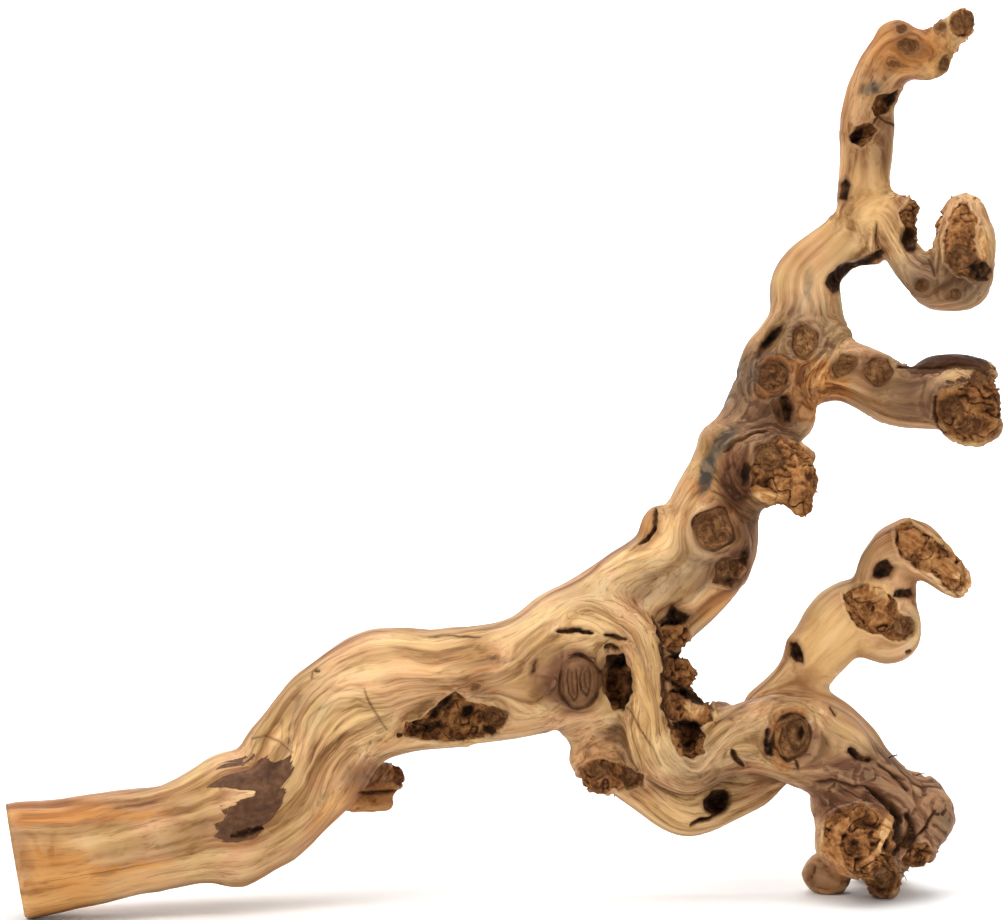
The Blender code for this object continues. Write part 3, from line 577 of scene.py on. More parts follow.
# Soft zones of colour, by tint: middle, half sizes, tilt and strength. RINGED wood shows the
# contour lines of its growth, SMOOTH wood hardly any strands, and the darkened zones are browner,
# partly a darker tone of the wood and partly painted shade on shaded sides and edges.
GREY, ORANGE, PURPLE, CREAM, BLUE, DARK_AND_SHADED, RINGED, SMOOTH = range(8)
TINTS = {
    GREY: [
        (150, 325, 18, 30, -25, 0.8), (165, 300, 22, 14, 0, 0.7), (185, 358, 26, 26, 0, 0.55),
        (252, 318, 24, 18, 0, 0.7), (232, 330, 16, 16, 0, 0.5), (255, 390, 26, 20, 0, 0.6),
        (120, 95, 30, 22, 0, 0.45), (145, 108, 20, 22, 0, 0.38), (120, 220, 22, 26, 0, 0.5),
        (223, 475, 18, 30, 0, 0.45), (-170, 62, 60, 14, 8, 0.3), (-230, 42, 50, 8, 8, 0.3),
        (-120, 130, 18, 26, -50, 0.35), (60, 200, 40, 10, 12, 0.35), (280, 385, 20, 14, 0, 0.6),
        (95, 205, 26, 16, 30, 0.5),
    ],
    ORANGE: [
        (-285, 22, 44, 24, 0, 1.1), (-280, 66, 44, 9, 0, 1.0), (-250, 18, 60, 8, 10, 0.5),
        (-288, 9, 28, 4, 2, 1.8), (-258, 27, 56, 2.5, 7, 1.2), (-262, 60, 60, 2.5, 4, 1.1),
        (-105, 62, 22, 14, 50, 0.6), (188, 322, 20, 18, -20, 1.8), (158, 321, 10, 5, 10, 1.0),
        (120, 262, 14, 8, -10, 0.5), (128, 192, 14, 10, 40, 0.6), (150, 225, 5, 22, 0, 0.6),
        (86, 240, 7, 12, 10, 0.6), (-5, 148, 60, 10, 0, 0.25), (242, 530, 34, 18, 0, 0.9),
        (196, 27, 16, 14, 0, 0.8), (216, 482, 20, 50, 0, 0.35), (190, 405, 34, 20, 35, 0.35),
        (266, 66, 8, 24, 14, 0.6), (-80, 72, 20, 12, 0, 1.2), (-78, 88, 18, 6, 0, 0.6),
    ],
    PURPLE: [
        (-296, 36, 10, 22, 12, 0.5), (217, 76, 34, 24, 0, 1.0), (255, 60, 30, 38, 0, 1.2),
        (192, 26, 12, 12, 0, 0.65), (40, 146, 18, 21, 0, 0.9), (22, 146, 8, 16, 0, 0.5),
        (141, 268, 10, 20, 0, 0.9), (190, 100, 22, 20, 0, 0.55), (175, 112, 18, 20, 0, 0.5),
        (240, 90, 26, 12, -40, 0.7), (-280, 45, 14, 10, 0, 0.35), (250, 535, 30, 24, 0, 0.25),
        (225, 515, 14, 16, 0, 0.35), (280, 410, 22, 32, 0, 0.45), (-82, 86, 20, 8, 0, 0.5),
        (160, 305, 26, 44, -20, 0.6), (220, 338, 18, 14, -10, 0.45), (138, 212, 15, 14, 0, 0.8),
        (185, 358, 18, 20, 0, 0.5), (300, 310, 22, 24, 0, 0.7), (255, 315, 22, 20, 0, 0.45),
        (160, 285, 34, 12, 0, 0.5), (222, 20, 20, 16, 0, 0.6), (150, 235, 12, 30, 0, 0.5),
    ],
    CREAM: [
        (136, 102, 18, 12, 30, 0.4), (200, 165, 26, 28, 30, 0.8), (224, 440, 14, 22, 0, 0.8),
        (-60, 150, 46, 30, 0, 0.3), (62, 174, 30, 12, 0, 0.4), (86, 140, 10, 40, 0, 0.7),
        (90, 62, 40, 16, 0, 0.5), (-112, 112, 40, 50, 0, 0.35), (196, 348, 14, 26, -20, 0.55),
        (100, 232, 16, 18, 0, 0.5), (160, 257, 10, 3.5, 0, 0.9), (230, 200, 12, 4, -30, 0.8),
        (292, 410, 6, 9, -20, 0.7), (232, 50, 3.5, 14, -15, 0.9), (277, 204, 7, 6, 0, 0.8),
        (115, 128, 6, 6, 0, 0.9), (-70, 108, 12, 8, 0, 0.5),
    ],
    BLUE: [
        (124, 274, 5, 19, -14, 0.85), (134, 291, 6, 14, -38, 0.7), (223, 506, 9, 4, 15, 0.8),
        (185, 386, 4, 13, -5, 0.6), (152, 330, 5, 18, -22, 0.5), (147, 222, 4, 6, 0, 0.7),
    ],
    DARK_AND_SHADED: [
        (-275, 70, 60, 3, 2, 0.8), (-292, 16, 22, 2.5, 4, 0.7), (140, 268, 13, 24, 0, 1.1),
        (145, 235, 12, 22, 0, 0.7), (160, 306, 24, 14, -20, 0.7), (155, 330, 22, 36, -20, 0.6),
        (128, 300, 10, 26, -20, 0.6), (240, 318, 30, 20, 0, 0.8), (218, 340, 13, 10, -10, 0.4),
        (264, 388, 24, 14, 0, 0.5), (268, 396, 12, 12, 0, 0.3), (222, 475, 14, 22, 0, 0.4),
        (250, 535, 40, 18, 0, 0.45), (226, 505, 12, 24, 0, 0.45), (-84, 92, 16, 5, 0, 0.6),
        (100, 150, 18, 44, 0, 0.45), (65, 86, 24, 14, 0, 0.25), (43, 144, 15, 20, 0, 0.2),
        (190, 402, 40, 12, 35, 0.35), (240, 225, 10, 20, 20, 0.35), (127, 237, 14, 15, 0, 0.7),
        (272, 314, 36, 30, 0, 0.5), (172, 362, 10, 16, -30, 0.4), (150, 207, 22, 10, 45, 0.35),
        (-250, 40, 70, 44, 8, 0.28), (-20, 103, 70, 7, 0, 0.3), (160, 75, 20, 20, 0, 0.3),
        (272, 343, 34, 9, 5, 1.3), (212, 480, 20, 70, -4, 0.35), (240, 540, 20, 8, 0, 0.5),
        (25, 147, 13, 22, 0, 0.5), (138, 212, 15, 12, 0, 0.5), (184, 24, 6, 14, 0, 0.7),
        (-78, 80, 24, 16, 0, 0.75), (60, 152, 40, 30, 0, 0.22), (118, 264, 8, 10, 0, 0.3),
    ],
    RINGED: [
        (-112, 112, 52, 56, 0, 1.0), (0, 146, 60, 20, 0, 1.0), (62, 172, 40, 22, 0, 1.0),
        (86, 130, 14, 50, 0, 0.9), (132, 100, 36, 24, 0, 1.0), (196, 345, 30, 34, 0, 0.9),
        (175, 112, 30, 28, 0, 1.0), (150, 325, 26, 34, -20, 0.8), (95, 215, 40, 34, 30, 0.8),
        (150, 262, 26, 34, 0, 0.6), (215, 85, 34, 26, -40, 1.0), (268, 398, 26, 24, 0, 0.7),
    ],
    SMOOTH: [
        (205, 165, 44, 40, 30, 1.0), (188, 408, 36, 30, 30, 0.9), (222, 440, 20, 32, 0, 0.7),
        (45, 144, 15, 20, 0, 1.0), (232, 205, 22, 20, 0, 0.8), (196, 27, 20, 18, 0, 0.8),
        (100, 232, 22, 22, 0, 0.6), (215, 112, 26, 16, -45, 0.6),
    ],
}


def polygon_reach(across, up, corners):
    """How far inside the corners each seen place is, or outside where it is less than nothing."""
    nearest = np.full(len(across), 1e9)
    inside = np.zeros(len(across), bool)
    for (ax, az), (bx, bz) in zip(corners, corners[1:] + corners[:1]):
        ex, ez = bx - ax, bz - az
        share = np.clip(((across - ax) * ex + (up - az) * ez) / (ex * ex + ez * ez), 0, 1)
        nearest = np.minimum(nearest, np.hypot(across - ax - share * ex, up - az - share * ez))
        crosses = ((az > up) != (bz > up)) & (across < ax + (up - az) / (ez if ez else 1e-9) * ex)
        inside ^= crosses
    return np.where(inside, nearest, -nearest)


def line_reach(across, up, points, half_width):
    """How far inside a slit, which narrows to nothing at both of its ends."""
    nearest = np.full(len(across), 1e9)
    along = np.zeros(len(across))
    gone = 0
    for (ax, az), (bx, bz) in zip(points, points[1:]):
        ex, ez = bx - ax, bz - az
        share = np.clip(((across - ax) * ex + (up - az) * ez) / (ex * ex + ez * ez), 0, 1)
        apart = np.hypot(across - ax - share * ex, up - az - share * ez)
        along = np.where(apart < nearest, gone + share * math.hypot(ex, ez), along)
        nearest = np.minimum(nearest, apart)
        gone += math.hypot(ex, ez)
    return half_width * np.sqrt(1 - (2 * along / gone - 1) ** 4) - nearest


def tilted(across, up, tilt):
    """Seen places in the directions of a mark that is turned by so many degrees."""
    turn = math.radians(tilt)
    return (
        across * math.cos(turn) + up * math.sin(turn),
        up * math.cos(turn) - across * math.sin(turn),
    )


def ragged(across, up, size, seed):
    """An uneven value between about minus one and one at each seen place."""
    return np.array([noise.noise((a / size, b / size, seed)) for a, b in zip(across, up)])


FRONT, BACK = 0, 1
BACK_EYE_Y = 3.0
skin_tree = BVHTree.FromPolygons(
    points_of(skin).tolist(), [tuple(face.vertices) for face in skin.polygons]
)


def view_from(side, points):
    """Seen places in millimetres from the eye, or straight from behind."""
    if side == FRONT:
        across, up = seen(points)
        return across * 1000, up * 1000
    return points[:, 0] * 1000, points[:, 2] * 1000


def struck(side, across, up):
    """The place and outward direction of the skin where it is seen at (across, up)."""
    if side == FRONT:
        start = EYE
        aim = Vector((EYE.x + across / 1000, EYE.y + EYE_DISTANCE, up / 1000)) - EYE
    else:
        start = Vector((across / 1000, BACK_EYE_Y, up / 1000))
        aim = Vector((0, -1, 0))
    place, normal, _, _ = skin_tree.ray_cast(start, aim.normalized())
    if place is None:
        beside = start + aim * (1 if side == FRONT else BACK_EYE_Y)
        place, normal, _, _ = skin_tree.find_nearest(beside)
    return place, normal, aim.normalized()


def spread_of(corners):
    """The middle of some corners, and the reach of the furthest from it."""
    middle = np.mean(corners, axis=0)
    return *middle, max(math.dist(middle, corner) for corner in corners)


# Wood that faces sideways, across the line from front to back, is painted browner, a painted shade
# on the limbs' edges, and wood that faces down darker still, a painted shade on the undersides.
# FAR_OUTSIDE is the reach, in millimetres, of a point with no mark.
EDGE_SHADE = 0.34
BELOW_SHADE = 0.20
FAR_OUTSIDE = -20.0
MARK_MARGIN, LEAST_FACING = 9, -0.25


class Marks:
    """Everything that is cut, torn or coloured on the vine, worked out at a set of points."""

    def __init__(self, points, normals):
        self.points, self.normals = points, normals
        count = len(points)
        self.hollow, self.bark, self.broken = np.full((3, count), FAR_OUTSIDE)
        self.plate, self.plug = np.full((2, count), FAR_OUTSIDE)
        self.rough, self.ring = np.zeros((2, count))
        self.push = np.zeros((count, 3))
        self.tints = np.zeros((count, 8))
        self.views = [view_from(side, points) for side in (FRONT, BACK)]
        for side in (FRONT, BACK):
            self.add_side(side)

    def near(self, side, across, up, size):
        """Which points lie close to a mark, and the way into the wood there."""
        place, normal, way = struck(side, across, up)
        apart = np.linalg.norm(self.points - np.array(place), axis=1) * 1000
        facing = self.normals @ np.array(-way)
        near = (apart < size * 1.7 + MARK_MARGIN) & (facing > LEAST_FACING)
        return np.flatnonzero(near), np.array((way - normal).normalized())

    def add_side(self, side):
        across, up = self.views[side]
        plugs, pockets, slits, bark, breaks, plates = (
            (PLUGS, POCKETS, SLITS, BARK_PATCHES, BREAKS, PLATES)
            if side == FRONT
            else (BACK_PLUGS, BACK_POCKETS, BACK_SLITS, BACK_BARK, BACK_BREAKS, [])
        )
        for rough, corners in breaks:
            near, _ = self.near(side, *spread_of(corners))
            reach = polygon_reach(across[near], up[near], corners)
            reach += 1.5 * ragged(across[near], up[near], 6, 5.3)
            reach += 0.8 * ragged(across[near], up[near], 2.4, 1.9)
            self.rough[near] = np.where(reach > self.broken[near], rough, self.rough[near])
            self.broken[near] = np.maximum(self.broken[near], reach)
        for x, z, wide, high, tilt, collar, depth in plugs:
            near, inward = self.near(side, x, z, max(wide, high) * 1.8)
            u, v = tilted(across[near] - x, up[near] - z, tilt)
            size = min(wide, high)
            ring = np.hypot(u / wide, v / high) * (1 + 0.22 * ragged(u, v, 0.8 * size, x))
            lift = collar * np.exp(-(((ring - 1.25) / 0.3) ** 2))
            lift -= depth * smooth_step(-ring, -0.95, -0.7)
            crevice = (0.06 + 0.12 * ragged(u, v, 0.9 * size, z) - np.abs(ring - 0.95)) * size
            lift -= (0.5 + 0.06 * size) * smooth_step(crevice, -0.5, 0.8)
            self.hollow[near] = np.maximum(self.hollow[near], crevice)
            inside = (0.93 - ring) * size
            self.ring[near] = np.where(inside > self.plug[near], ring * size, self.ring[near])
            self.plug[near] = np.maximum(self.plug[near], inside)
            self.push[near] -= 0.001 * lift[:, None] * inward
        for depth, shaded_black_inside, corners in pockets.values():
            middle_x, middle_z, size = spread_of(corners)
            near, inward = self.near(side, middle_x, middle_z, size)
            reach = polygon_reach(across[near], up[near], corners)
            reach += 1.4 * ragged(across[near], up[near], 5, 3.7)
            if shaded_black_inside:
                self.hollow[near] = np.maximum(self.hollow[near], reach)
            else:
                self.rough[near] = np.where(reach > self.broken[near], 1.8, self.rough[near])
                self.broken[near] = np.maximum(self.broken[near], reach)
            sunk = depth * smooth_step(reach, -0.6, min(4.5, 0.5 * size))
            sunk -= 0.8 * np.exp(-(((reach + 1.8) / 1.5) ** 2))
            self.push[near] += 0.001 * sunk[:, None] * inward
        for half_width, depth, points in slits:
            near, inward = self.near(side, *spread_of(points))
            waver = 0.9 * ragged(across[near], up[near], 6, 8.1)
            reach = line_reach(across[near] + waver, up[near] - waver, points, half_width)
            reach += 0.35 * half_width * ragged(across[near], up[near], 3, 2.6)
            reach = np.where(reach < 0, 2.2 * reach, reach)
            self.hollow[near] = np.maximum(self.hollow[near], reach)
            sunk = depth * smooth_step(reach, -1.1, half_width)
            self.push[near] += 0.001 * sunk[:, None] * inward
        for corners in bark:
            near, _ = self.near(side, *spread_of(corners))
            reach = polygon_reach(across[near], up[near], corners)
            self.bark[near] = np.maximum(self.bark[near], reach)
        for rise, corners in plates:
            near, inward = self.near(side, *spread_of(corners))
            reach = polygon_reach(across[near], up[near], corners)
            reach += 0.9 * ragged(across[near], up[near], 3.5, 6.4)
            self.plate[near] = np.maximum(self.plate[near], reach)
            groove = np.exp(-(((reach + 1.0) / 0.6) ** 2))
            lift = rise * smooth_step(reach, -0.5, 0.9) - 0.9 * groove
            self.push[near] -= 0.001 * lift[:, None] * inward
        if side == FRONT:
            # Painted shade: wood facing sideways is made browner, and wood facing down darker,
            # whatever its own colour.
            self.tints[:, DARK_AND_SHADED] = EDGE_SHADE * smooth_step(-abs(self.normals[:, 1]), -0.75, -0.1)
            self.tints[:, DARK_AND_SHADED] += BELOW_SHADE * smooth_step(-self.normals[:, 2], 0.2, 0.9)
        towards = -self.normals[:, 1] if side == FRONT else self.normals[:, 1]
        facing = smooth_step(towards, -0.5, 0.3)
        for tint, zones in TINTS.items():
            for x, z, wide, high, tilt, strength in zones:
                u, v = tilted(across - x, up - z, tilt)
                share = smooth_step(-np.hypot(u / wide, v / high), -1.5, -0.4)
                self.tints[:, tint] = np.maximum(self.tints[:, tint], strength * facing * share)


# The saw cut: its middle, and the way that it faces.
SAWN_PLACE = np.array((-0.29994, -0.05611, 0.0365))
SAWN_WAY = np.array((-0.96295, -0.21099, -0.16799))
SAWN_WAY /= np.linalg.norm(SAWN_WAY)
SAWN_SKIN = 0.0011
# Two rounds of finer triangles round the marks: how far outside a mark they start, and how deep
# inside it they end, in millimetres.
for margin, core in ((2.2, 30.0), (0.7, 3.0)):
    first = Marks(points_of(skin), normals_of(skin))
    wanted = margin + np.maximum.reduce([
        first.broken, first.plate, np.minimum(first.hollow, core - first.hollow),
        np.minimum(first.plug, core / 2 - first.plug),
    ])
    corners_of = [tuple(face.vertices) for face in skin.polygons]
    shape = bmesh.new()
    shape.from_mesh(skin)
    shape.faces.ensure_lookup_table()
    chosen = [k for k, corners in enumerate(corners_of) if wanted[list(corners)].max() > 0]
    fine_edges = list(dict.fromkeys(edge for k in chosen for edge in shape.faces[k].edges))
    bmesh.ops.subdivide_edges(shape, edges=fine_edges, cuts=1, use_grid_fill=True)
    bmesh.ops.triangulate(shape, faces=shape.faces[:])
    shape.to_mesh(skin)
    shape.free()
joined = neighbours_of(skin)
base = spread_out(points_of(skin), joined, 2)
sawn = (base - SAWN_PLACE) @ SAWN_WAY
base -= np.where(sawn > -SAWN_SKIN, sawn, 0)[:, None] * SAWN_WAY
set_points(skin, base)
outward = normals_of(skin)
marks = Marks(base, outward)

# The strands bend round each plug as water does round a stone.
WANDER, WANDER_SIZE = 0.0035, 0.032
bent = base + [WANDER * noise.noise_vector(Vector(place) / WANDER_SIZE) for place in base]
for side, plugs in ((FRONT, PLUGS), (BACK, BACK_PLUGS)):
    for x, z, wide, high, tilt, collar, depth in plugs:
        place, normal, way = struck(side, x, z)
        size = 0.00115 * max(wide, high)
        gap = base - np.array(place)
        near = np.linalg.norm(gap, axis=1) < 5 * size
        run = run_direction(place)
        cross = np.cross(np.array(normal), run)
        cross /= np.linalg.norm(cross)
        aside = gap[near] @ cross
        apart2 = aside**2 + (gap[near] @ run) ** 2
        ease = smooth_step(-np.sqrt(apart2) / size, -5, -2.5)
        bent[near] -= (ease * aside * np.minimum(1, size * size / apart2))[:, None] * cross
grain = spread_out(grain_at(bent), joined, 14)

gnarled = np.clip(0.9 * marks.tints[:, PURPLE] + 0.4 * marks.tints[:, GREY], 0, 1)
still = 1 - 0.75 * np.clip(marks.tints[:, SMOOTH], 0, 1)
STRANDS = [(0.0150, 0.0013), (0.0065, 0.0006), (0.0034, 0.00022)]
lift = np.zeros(len(base))
for size, height in STRANDS:
    strand = [noise.noise((a / size, b / size, c * 2 / size)) for a, b, c in grain]
    lift += height * np.array(strand)
FOLD_SIZE, FOLD_WIDTH, FOLD_DEPTH = 0.017, 0.06, 0.0017
folds = np.empty(len(base))
for i, place in enumerate(base):
    warp = noise.noise_vector(Vector(place) / 0.03)
    folds[i] = noise.noise(Vector(place) / FOLD_SIZE + 0.8 * warp)
crease = np.exp(-((folds / FOLD_WIDTH) ** 2)) * gnarled
lift = lift * still * (1 + 0.9 * gnarled) - FOLD_DEPTH * crease
torn_reach = np.maximum(marks.broken, marks.hollow)
calm = smooth_step(-np.maximum(torn_reach, marks.plug), -1.0, 3.0)
calm *= smooth_step(-sawn, 0.0004, 0.004)
sharp = base + (lift * calm)[:, None] * outward + marks.push * smooth_step(-sawn, 0, 0.002)[:, None]


def torn_relief(place):
    """Torn wood: rounded lumps and curls with dark cracks between them."""
    lump = noise.noise(place / 0.0078)
    warp = noise.noise_vector(place / 0.011 + Vector((7, 3, 1)))
    curl = 1 - 2 * abs(noise.noise(place / 0.0095 + 0.9 * warp))
    splinter = 1 - 2 * abs(noise.noise(place / 0.0038 + Vector((2, 9, 4))))
    seam = noise.noise(place / 0.0085 + 0.6 * warp + Vector((4, 1, 8)))
    fine = 1 - 2 * abs(noise.noise(place / 0.0021 + 1.5 * warp))
    crack = max(0, math.exp(-((seam / 0.05) ** 2)) * (0.70 + lump))
    height = 0.8 * lump + 0.65 * (curl - 0.5) + 0.42 * (splinter - 0.4) + 0.2 * (fine - 0.4)
    return height - 1.1 * crack, crack


TORN_HEIGHT, PLUG_HEIGHT, PLUG_LUMP = 0.00092, 0.0005, 0.0075
torn_height = np.zeros(len(base))
torn_gap = np.zeros(len(base))
for i in np.flatnonzero(torn_reach > -2):
    torn_height[i], torn_gap[i] = torn_relief(Vector(base[i]))
rough = np.where(marks.broken > -2, marks.rough, 0)
rough = np.maximum(rough, np.where(marks.hollow > 1, 0.8, 0))
rough = spread_out(rough, joined, 2) * (1 - 0.8 * smooth_step(marks.plate, -0.5, 0.8))
in_plug = smooth_step(marks.plug, -0.2, 1.2)
plug_height = np.array([noise.noise(Vector(place) / PLUG_LUMP) for place in base])
rough *= 1 - in_plug
edge = smooth_step(torn_reach, -1.0, 2.0)
sharp += (TORN_HEIGHT * rough * edge * torn_height)[:, None] * outward
sharp += (PLUG_HEIGHT * in_plug * plug_height)[:, None] * outward
lip = 0.0011 * np.exp(-(((marks.broken + 1.4) / 1.0) ** 2))
lip -= 0.0010 * np.exp(-(((marks.broken - 0.6) / 0.7) ** 2))
sharp += (lip * smooth_step(rough, 0.2, 1.2))[:, None] * outward
low_corner, high_corner = (np.array(corner) for corner in cad_box)
sharp = np.clip(sharp, low_corner, high_corner)
set_points(skin, sharp)

# How far the skin lies below its own surroundings, in millimetres, close by and over a wider ring.
normals = normals_of(skin)
cavity_fine = ((spread_out(sharp, joined, 3) - sharp) * normals).sum(1) * 1000
cavity_wide = ((spread_out(sharp, joined, 24) - sharp) * normals).sum(1) * 1000


def set_attribute(mesh, name, kind, field, values):
    made = mesh.attributes.new(name, kind, "POINT")
    made.data.foreach_set(field, np.asarray(values, np.float32).ravel())


MOST_REACH = 9
set_attribute(skin, "grain", "FLOAT_VECTOR", "vector", grain)
for name in ("hollow", "bark", "broken", "plate", "plug"):
    reach = np.clip(getattr(marks, name), -MOST_REACH, MOST_REACH)
    set_attribute(skin, name, "FLOAT", "value", reach)
set_attribute(skin, "torn", "FLOAT", "value", 0.5 + 0.26 * (torn_height - 0.35))
# Painted shade: the creases of the folds and the cracks of the torn wood are marked to be coloured
# near black.
fold_shade = 0.36 * crease * calm
set_attribute(skin, "crease", "FLOAT", "value", np.maximum(fold_shade, torn_gap * edge))
set_attribute(skin, "ring", "FLOAT", "value", marks.ring)
across_cut = np.cross(SAWN_WAY, (0, 0, 1))
across_cut /= np.linalg.norm(across_cut)
cut_place = (base - SAWN_PLACE) * 1000
sawn_place = np.column_stack([
    cut_place @ across_cut, cut_place @ np.cross(SAWN_WAY, across_cut), 1000 * sawn
])
set_attribute(skin, "sawn", "FLOAT_VECTOR", "vector", sawn_place)
set_attribute(skin, "cavity", "FLOAT", "value", cavity_fine)
set_attribute(skin, "dip", "FLOAT", "value", cavity_wide)
set_attribute(skin, "tints", "FLOAT_COLOR", "color", marks.tints[:, :4])
set_attribute(skin, "stains_and_shade", "FLOAT_COLOR", "color", marks.tints[:, 4:])


# The torn faces keep their fine triangles, and the smooth wood needs few.
MOST_TRIANGLES = 188000
carved = linked("carved", skin)
thin = carved.modifiers.new("thin", "DECIMATE")
thin.ratio = min(1.0, MOST_TRIANGLES / len(skin.polygons))
bpy.context.view_layer.update()
thin_mesh = bpy.data.meshes.new_from_object(
    carved.evaluated_get(bpy.context.evaluated_depsgraph_get())
)
bpy.data.objects.remove(carved)


def joint_colour(tree, share, first_colour, second_colour, way="MIX"):
    """One colour laid over another."""
    mix = add_node(tree, "ShaderNodeMix", data_type="RGBA", blend_type=way)
    for socket, value in ((0, share), (6, first_colour), (7, second_colour)):
        if isinstance(value, bpy.types.NodeSocket):
            tree.links.new(value, mix.inputs[socket])
        else:
            mix.inputs[socket].default_value = value if socket == 0 else (*value, 1)
    return mix.outputs[2]


def sums(tree, way, first_value, second_value, clamp=False):
    made = add_node(
        tree, "ShaderNodeMath", {0: first_value, 1: second_value}, operation=way, use_clamp=clamp
    )
    return made.outputs[0]


def stepped(tree, value, low, high, start=0.0, end=1.0):
    """A value that turns from start to end as the first goes from low to high."""
    made = add_node(
        tree,
        "ShaderNodeMapRange",
        {"Value": value, "From Min": low, "From Max": high, "To Min": start, "To Max": end},
        interpolation_type="SMOOTHSTEP",
    )
    return made.outputs["Result"]


def grained(tree, place, size, detail=3.0, roughness=0.55, distortion=0.0):
    made = add_node(
        tree,
        "ShaderNodeTexNoise",
        {"Vector": place, "Scale": 1 / size, "Detail": detail, "Roughness": roughness,
         "Distortion": distortion},
    )
    return made.outputs["Fac"]


def shaded(tree, value, stops):
    made = add_node(tree, "ShaderNodeValToRGB", {"Fac": value})
    row = made.color_ramp.elements
    while len(row) < len(stops):
        row.new(0.5)
    for element, (position, colour) in zip(row, stops):
        element.position = position
        element.color = (*colour, 1)
    return made.outputs["Color"]


def attribute(tree, name, output="Fac"):
    return add_node(tree, "ShaderNodeAttribute", attribute_name=name).outputs[output]


def layered(tree, *parts):
    """A sum of values, each times its share."""
    total = 0.0
    for value, share in parts:
        total = sums(tree, "ADD", total, sums(tree, "MULTIPLY", value, share))
    return total


wood, wood_surface = plain_surface("blasted_vine_wood", (0.5, 0.33, 0.16), 0.62, 0.12)
tree = wood.node_tree
run_place = attribute(tree, "grain", "Vector")
solid_place = add_node(tree, "ShaderNodeTexCoord").outputs["Object"]
tint_split = add_node(tree, "ShaderNodeSeparateColor", {0: attribute(tree, "tints", "Color")})
stain_and_shade_split = add_node(tree, "ShaderNodeSeparateColor", {0: attribute(tree, "stains_and_shade", "Color")})
ringed, smooth = stain_and_shade_split.outputs[2], attribute(tree, "stains_and_shade", "Alpha")
strandy = stepped(tree, smooth, 0.0, 0.9, 1.0, 0.3)


def lengthened(tree, place, share):
    """The grain coordinates with the run of the limb counted more, so that marks are shorter."""
    made = add_node(
        tree, "ShaderNodeVectorMath", {0: place, 1: (1.0, 1.0, share)}, operation="MULTIPLY"
    )
    return made.outputs[0]


swirl = add_node(
    tree,
    "ShaderNodeTexNoise",
    {"Vector": lengthened(tree, run_place, 9.0), "Scale": 1 / 0.035, "Detail": 1.0},
).outputs["Color"]
swirl_shift = add_node(
    tree,
    "ShaderNodeVectorMath",
    {0: swirl, 1: (0.034, 0.034, 0.0), 2: (-0.017, -0.017, 0.0)},
    operation="MULTIPLY_ADD",
).outputs[0]
swirl_share = layered(tree, (ringed, 0.8), (1.0, 0.2))
swirl_place = add_node(
    tree, "ShaderNodeVectorMath", {0: swirl_shift, "Scale": swirl_share}, operation="SCALE"
).outputs[0]
flow_place = add_node(tree, "ShaderNodeVectorMath", {0: run_place, 1: swirl_place}).outputs[0]
wide_streak = grained(tree, flow_place, 0.0125, 3.0, 0.55, 0.3)
streak = grained(tree, flow_place, 0.0042, 3.0, 0.6, 0.2)
hair = grained(tree, flow_place, 0.0013, 2.0, 0.6)
blotch = grained(tree, solid_place, 0.055, 3.0, 0.55)
speck = grained(tree, solid_place, 0.0042, 4.0, 0.6)
splinter = grained(tree, solid_place, 0.0028, 4.0, 0.6, 0.6)
waver = sums(tree, "MULTIPLY", sums(tree, "SUBTRACT", streak, 0.5), strandy)
mixed = layered(tree, (wide_streak, 0.46), (blotch, 0.22), (waver, 0.34), (0.5, 0.32))
body_colour = shaded(tree, mixed, [
    (0.36, (0.140, 0.056, 0.019)), (0.43, (0.285, 0.136, 0.050)), (0.49, (0.440, 0.248, 0.107)),
    (0.54, (0.570, 0.350, 0.165)), (0.60, (0.680, 0.458, 0.240)), (0.68, (0.475, 0.275, 0.125)),
])
contour = grained(tree, lengthened(tree, flow_place, 3.0), 0.030, 1.5, 0.45, 0.2)
contour_wave = sums(tree, "SINE", sums(tree, "MULTIPLY", contour, 150.0), 0.0)
contour_line = sums(tree, "MULTIPLY", stepped(tree, contour_wave, 0.4, 1.0), ringed)
contour_swell = sums(tree, "SINE", sums(tree, "MULTIPLY", contour, 47.0), 0.0)
contour_band = sums(tree, "MULTIPLY", contour_swell, ringed)
thin_line = sums(tree, "MULTIPLY", stepped(tree, streak, 0.43, 0.40), 0.16)
hair_shade = sums(tree, "SUBTRACT", stepped(tree, hair, 0.36, 0.45, -0.22, 0.03), thin_line)
hair_shade = sums(tree, "MULTIPLY", hair_shade, strandy)
shade = layered(tree, (hair_shade, 1.0), (contour_line, -0.26), (contour_band, 0.09), (1.0, 1.0))
shade_colour = add_node(tree, "ShaderNodeCombineColor", {0: shade, 1: shade, 2: shade}).outputs[0]
grey_wood = shaded(tree, mixed, [
    (0.36, (0.045, 0.026, 0.016)), (0.46, (0.135, 0.083, 0.048)), (0.54, (0.260, 0.168, 0.100)),
    (0.64, (0.400, 0.280, 0.175)),
])
orange_wood = shaded(tree, mixed, [
    (0.36, (0.120, 0.032, 0.006)), (0.46, (0.370, 0.138, 0.033)), (0.54, (0.580, 0.275, 0.080)),
    (0.66, (0.700, 0.410, 0.155)),
])
purple_wood = shaded(tree, mixed, [
    (0.38, (0.036, 0.012, 0.006)), (0.47, (0.125, 0.048, 0.023)), (0.55, (0.265, 0.122, 0.062)),
    (0.65, (0.460, 0.262, 0.142)),
])
cream_wood = shaded(tree, mixed, [
    (0.34, (0.360, 0.180, 0.064)), (0.46, (0.560, 0.320, 0.122)), (0.56, (0.680, 0.420, 0.175)),
    (0.66, (0.780, 0.530, 0.270)),
])
blue_wood = shaded(tree, mixed, [
    (0.36, (0.016, 0.013, 0.010)), (0.50, (0.062, 0.051, 0.039)), (0.64, (0.140, 0.112, 0.082)),
])
hue = shaded(tree, grained(tree, solid_place, 0.030, 2.0), [
    (0.40, (1.00, 0.91, 0.93)), (0.50, (1.00, 1.00, 1.00)), (0.60, (0.98, 1.01, 0.92)),
])
colour = joint_colour(tree, 1.0, body_colour, hue, "MULTIPLY")
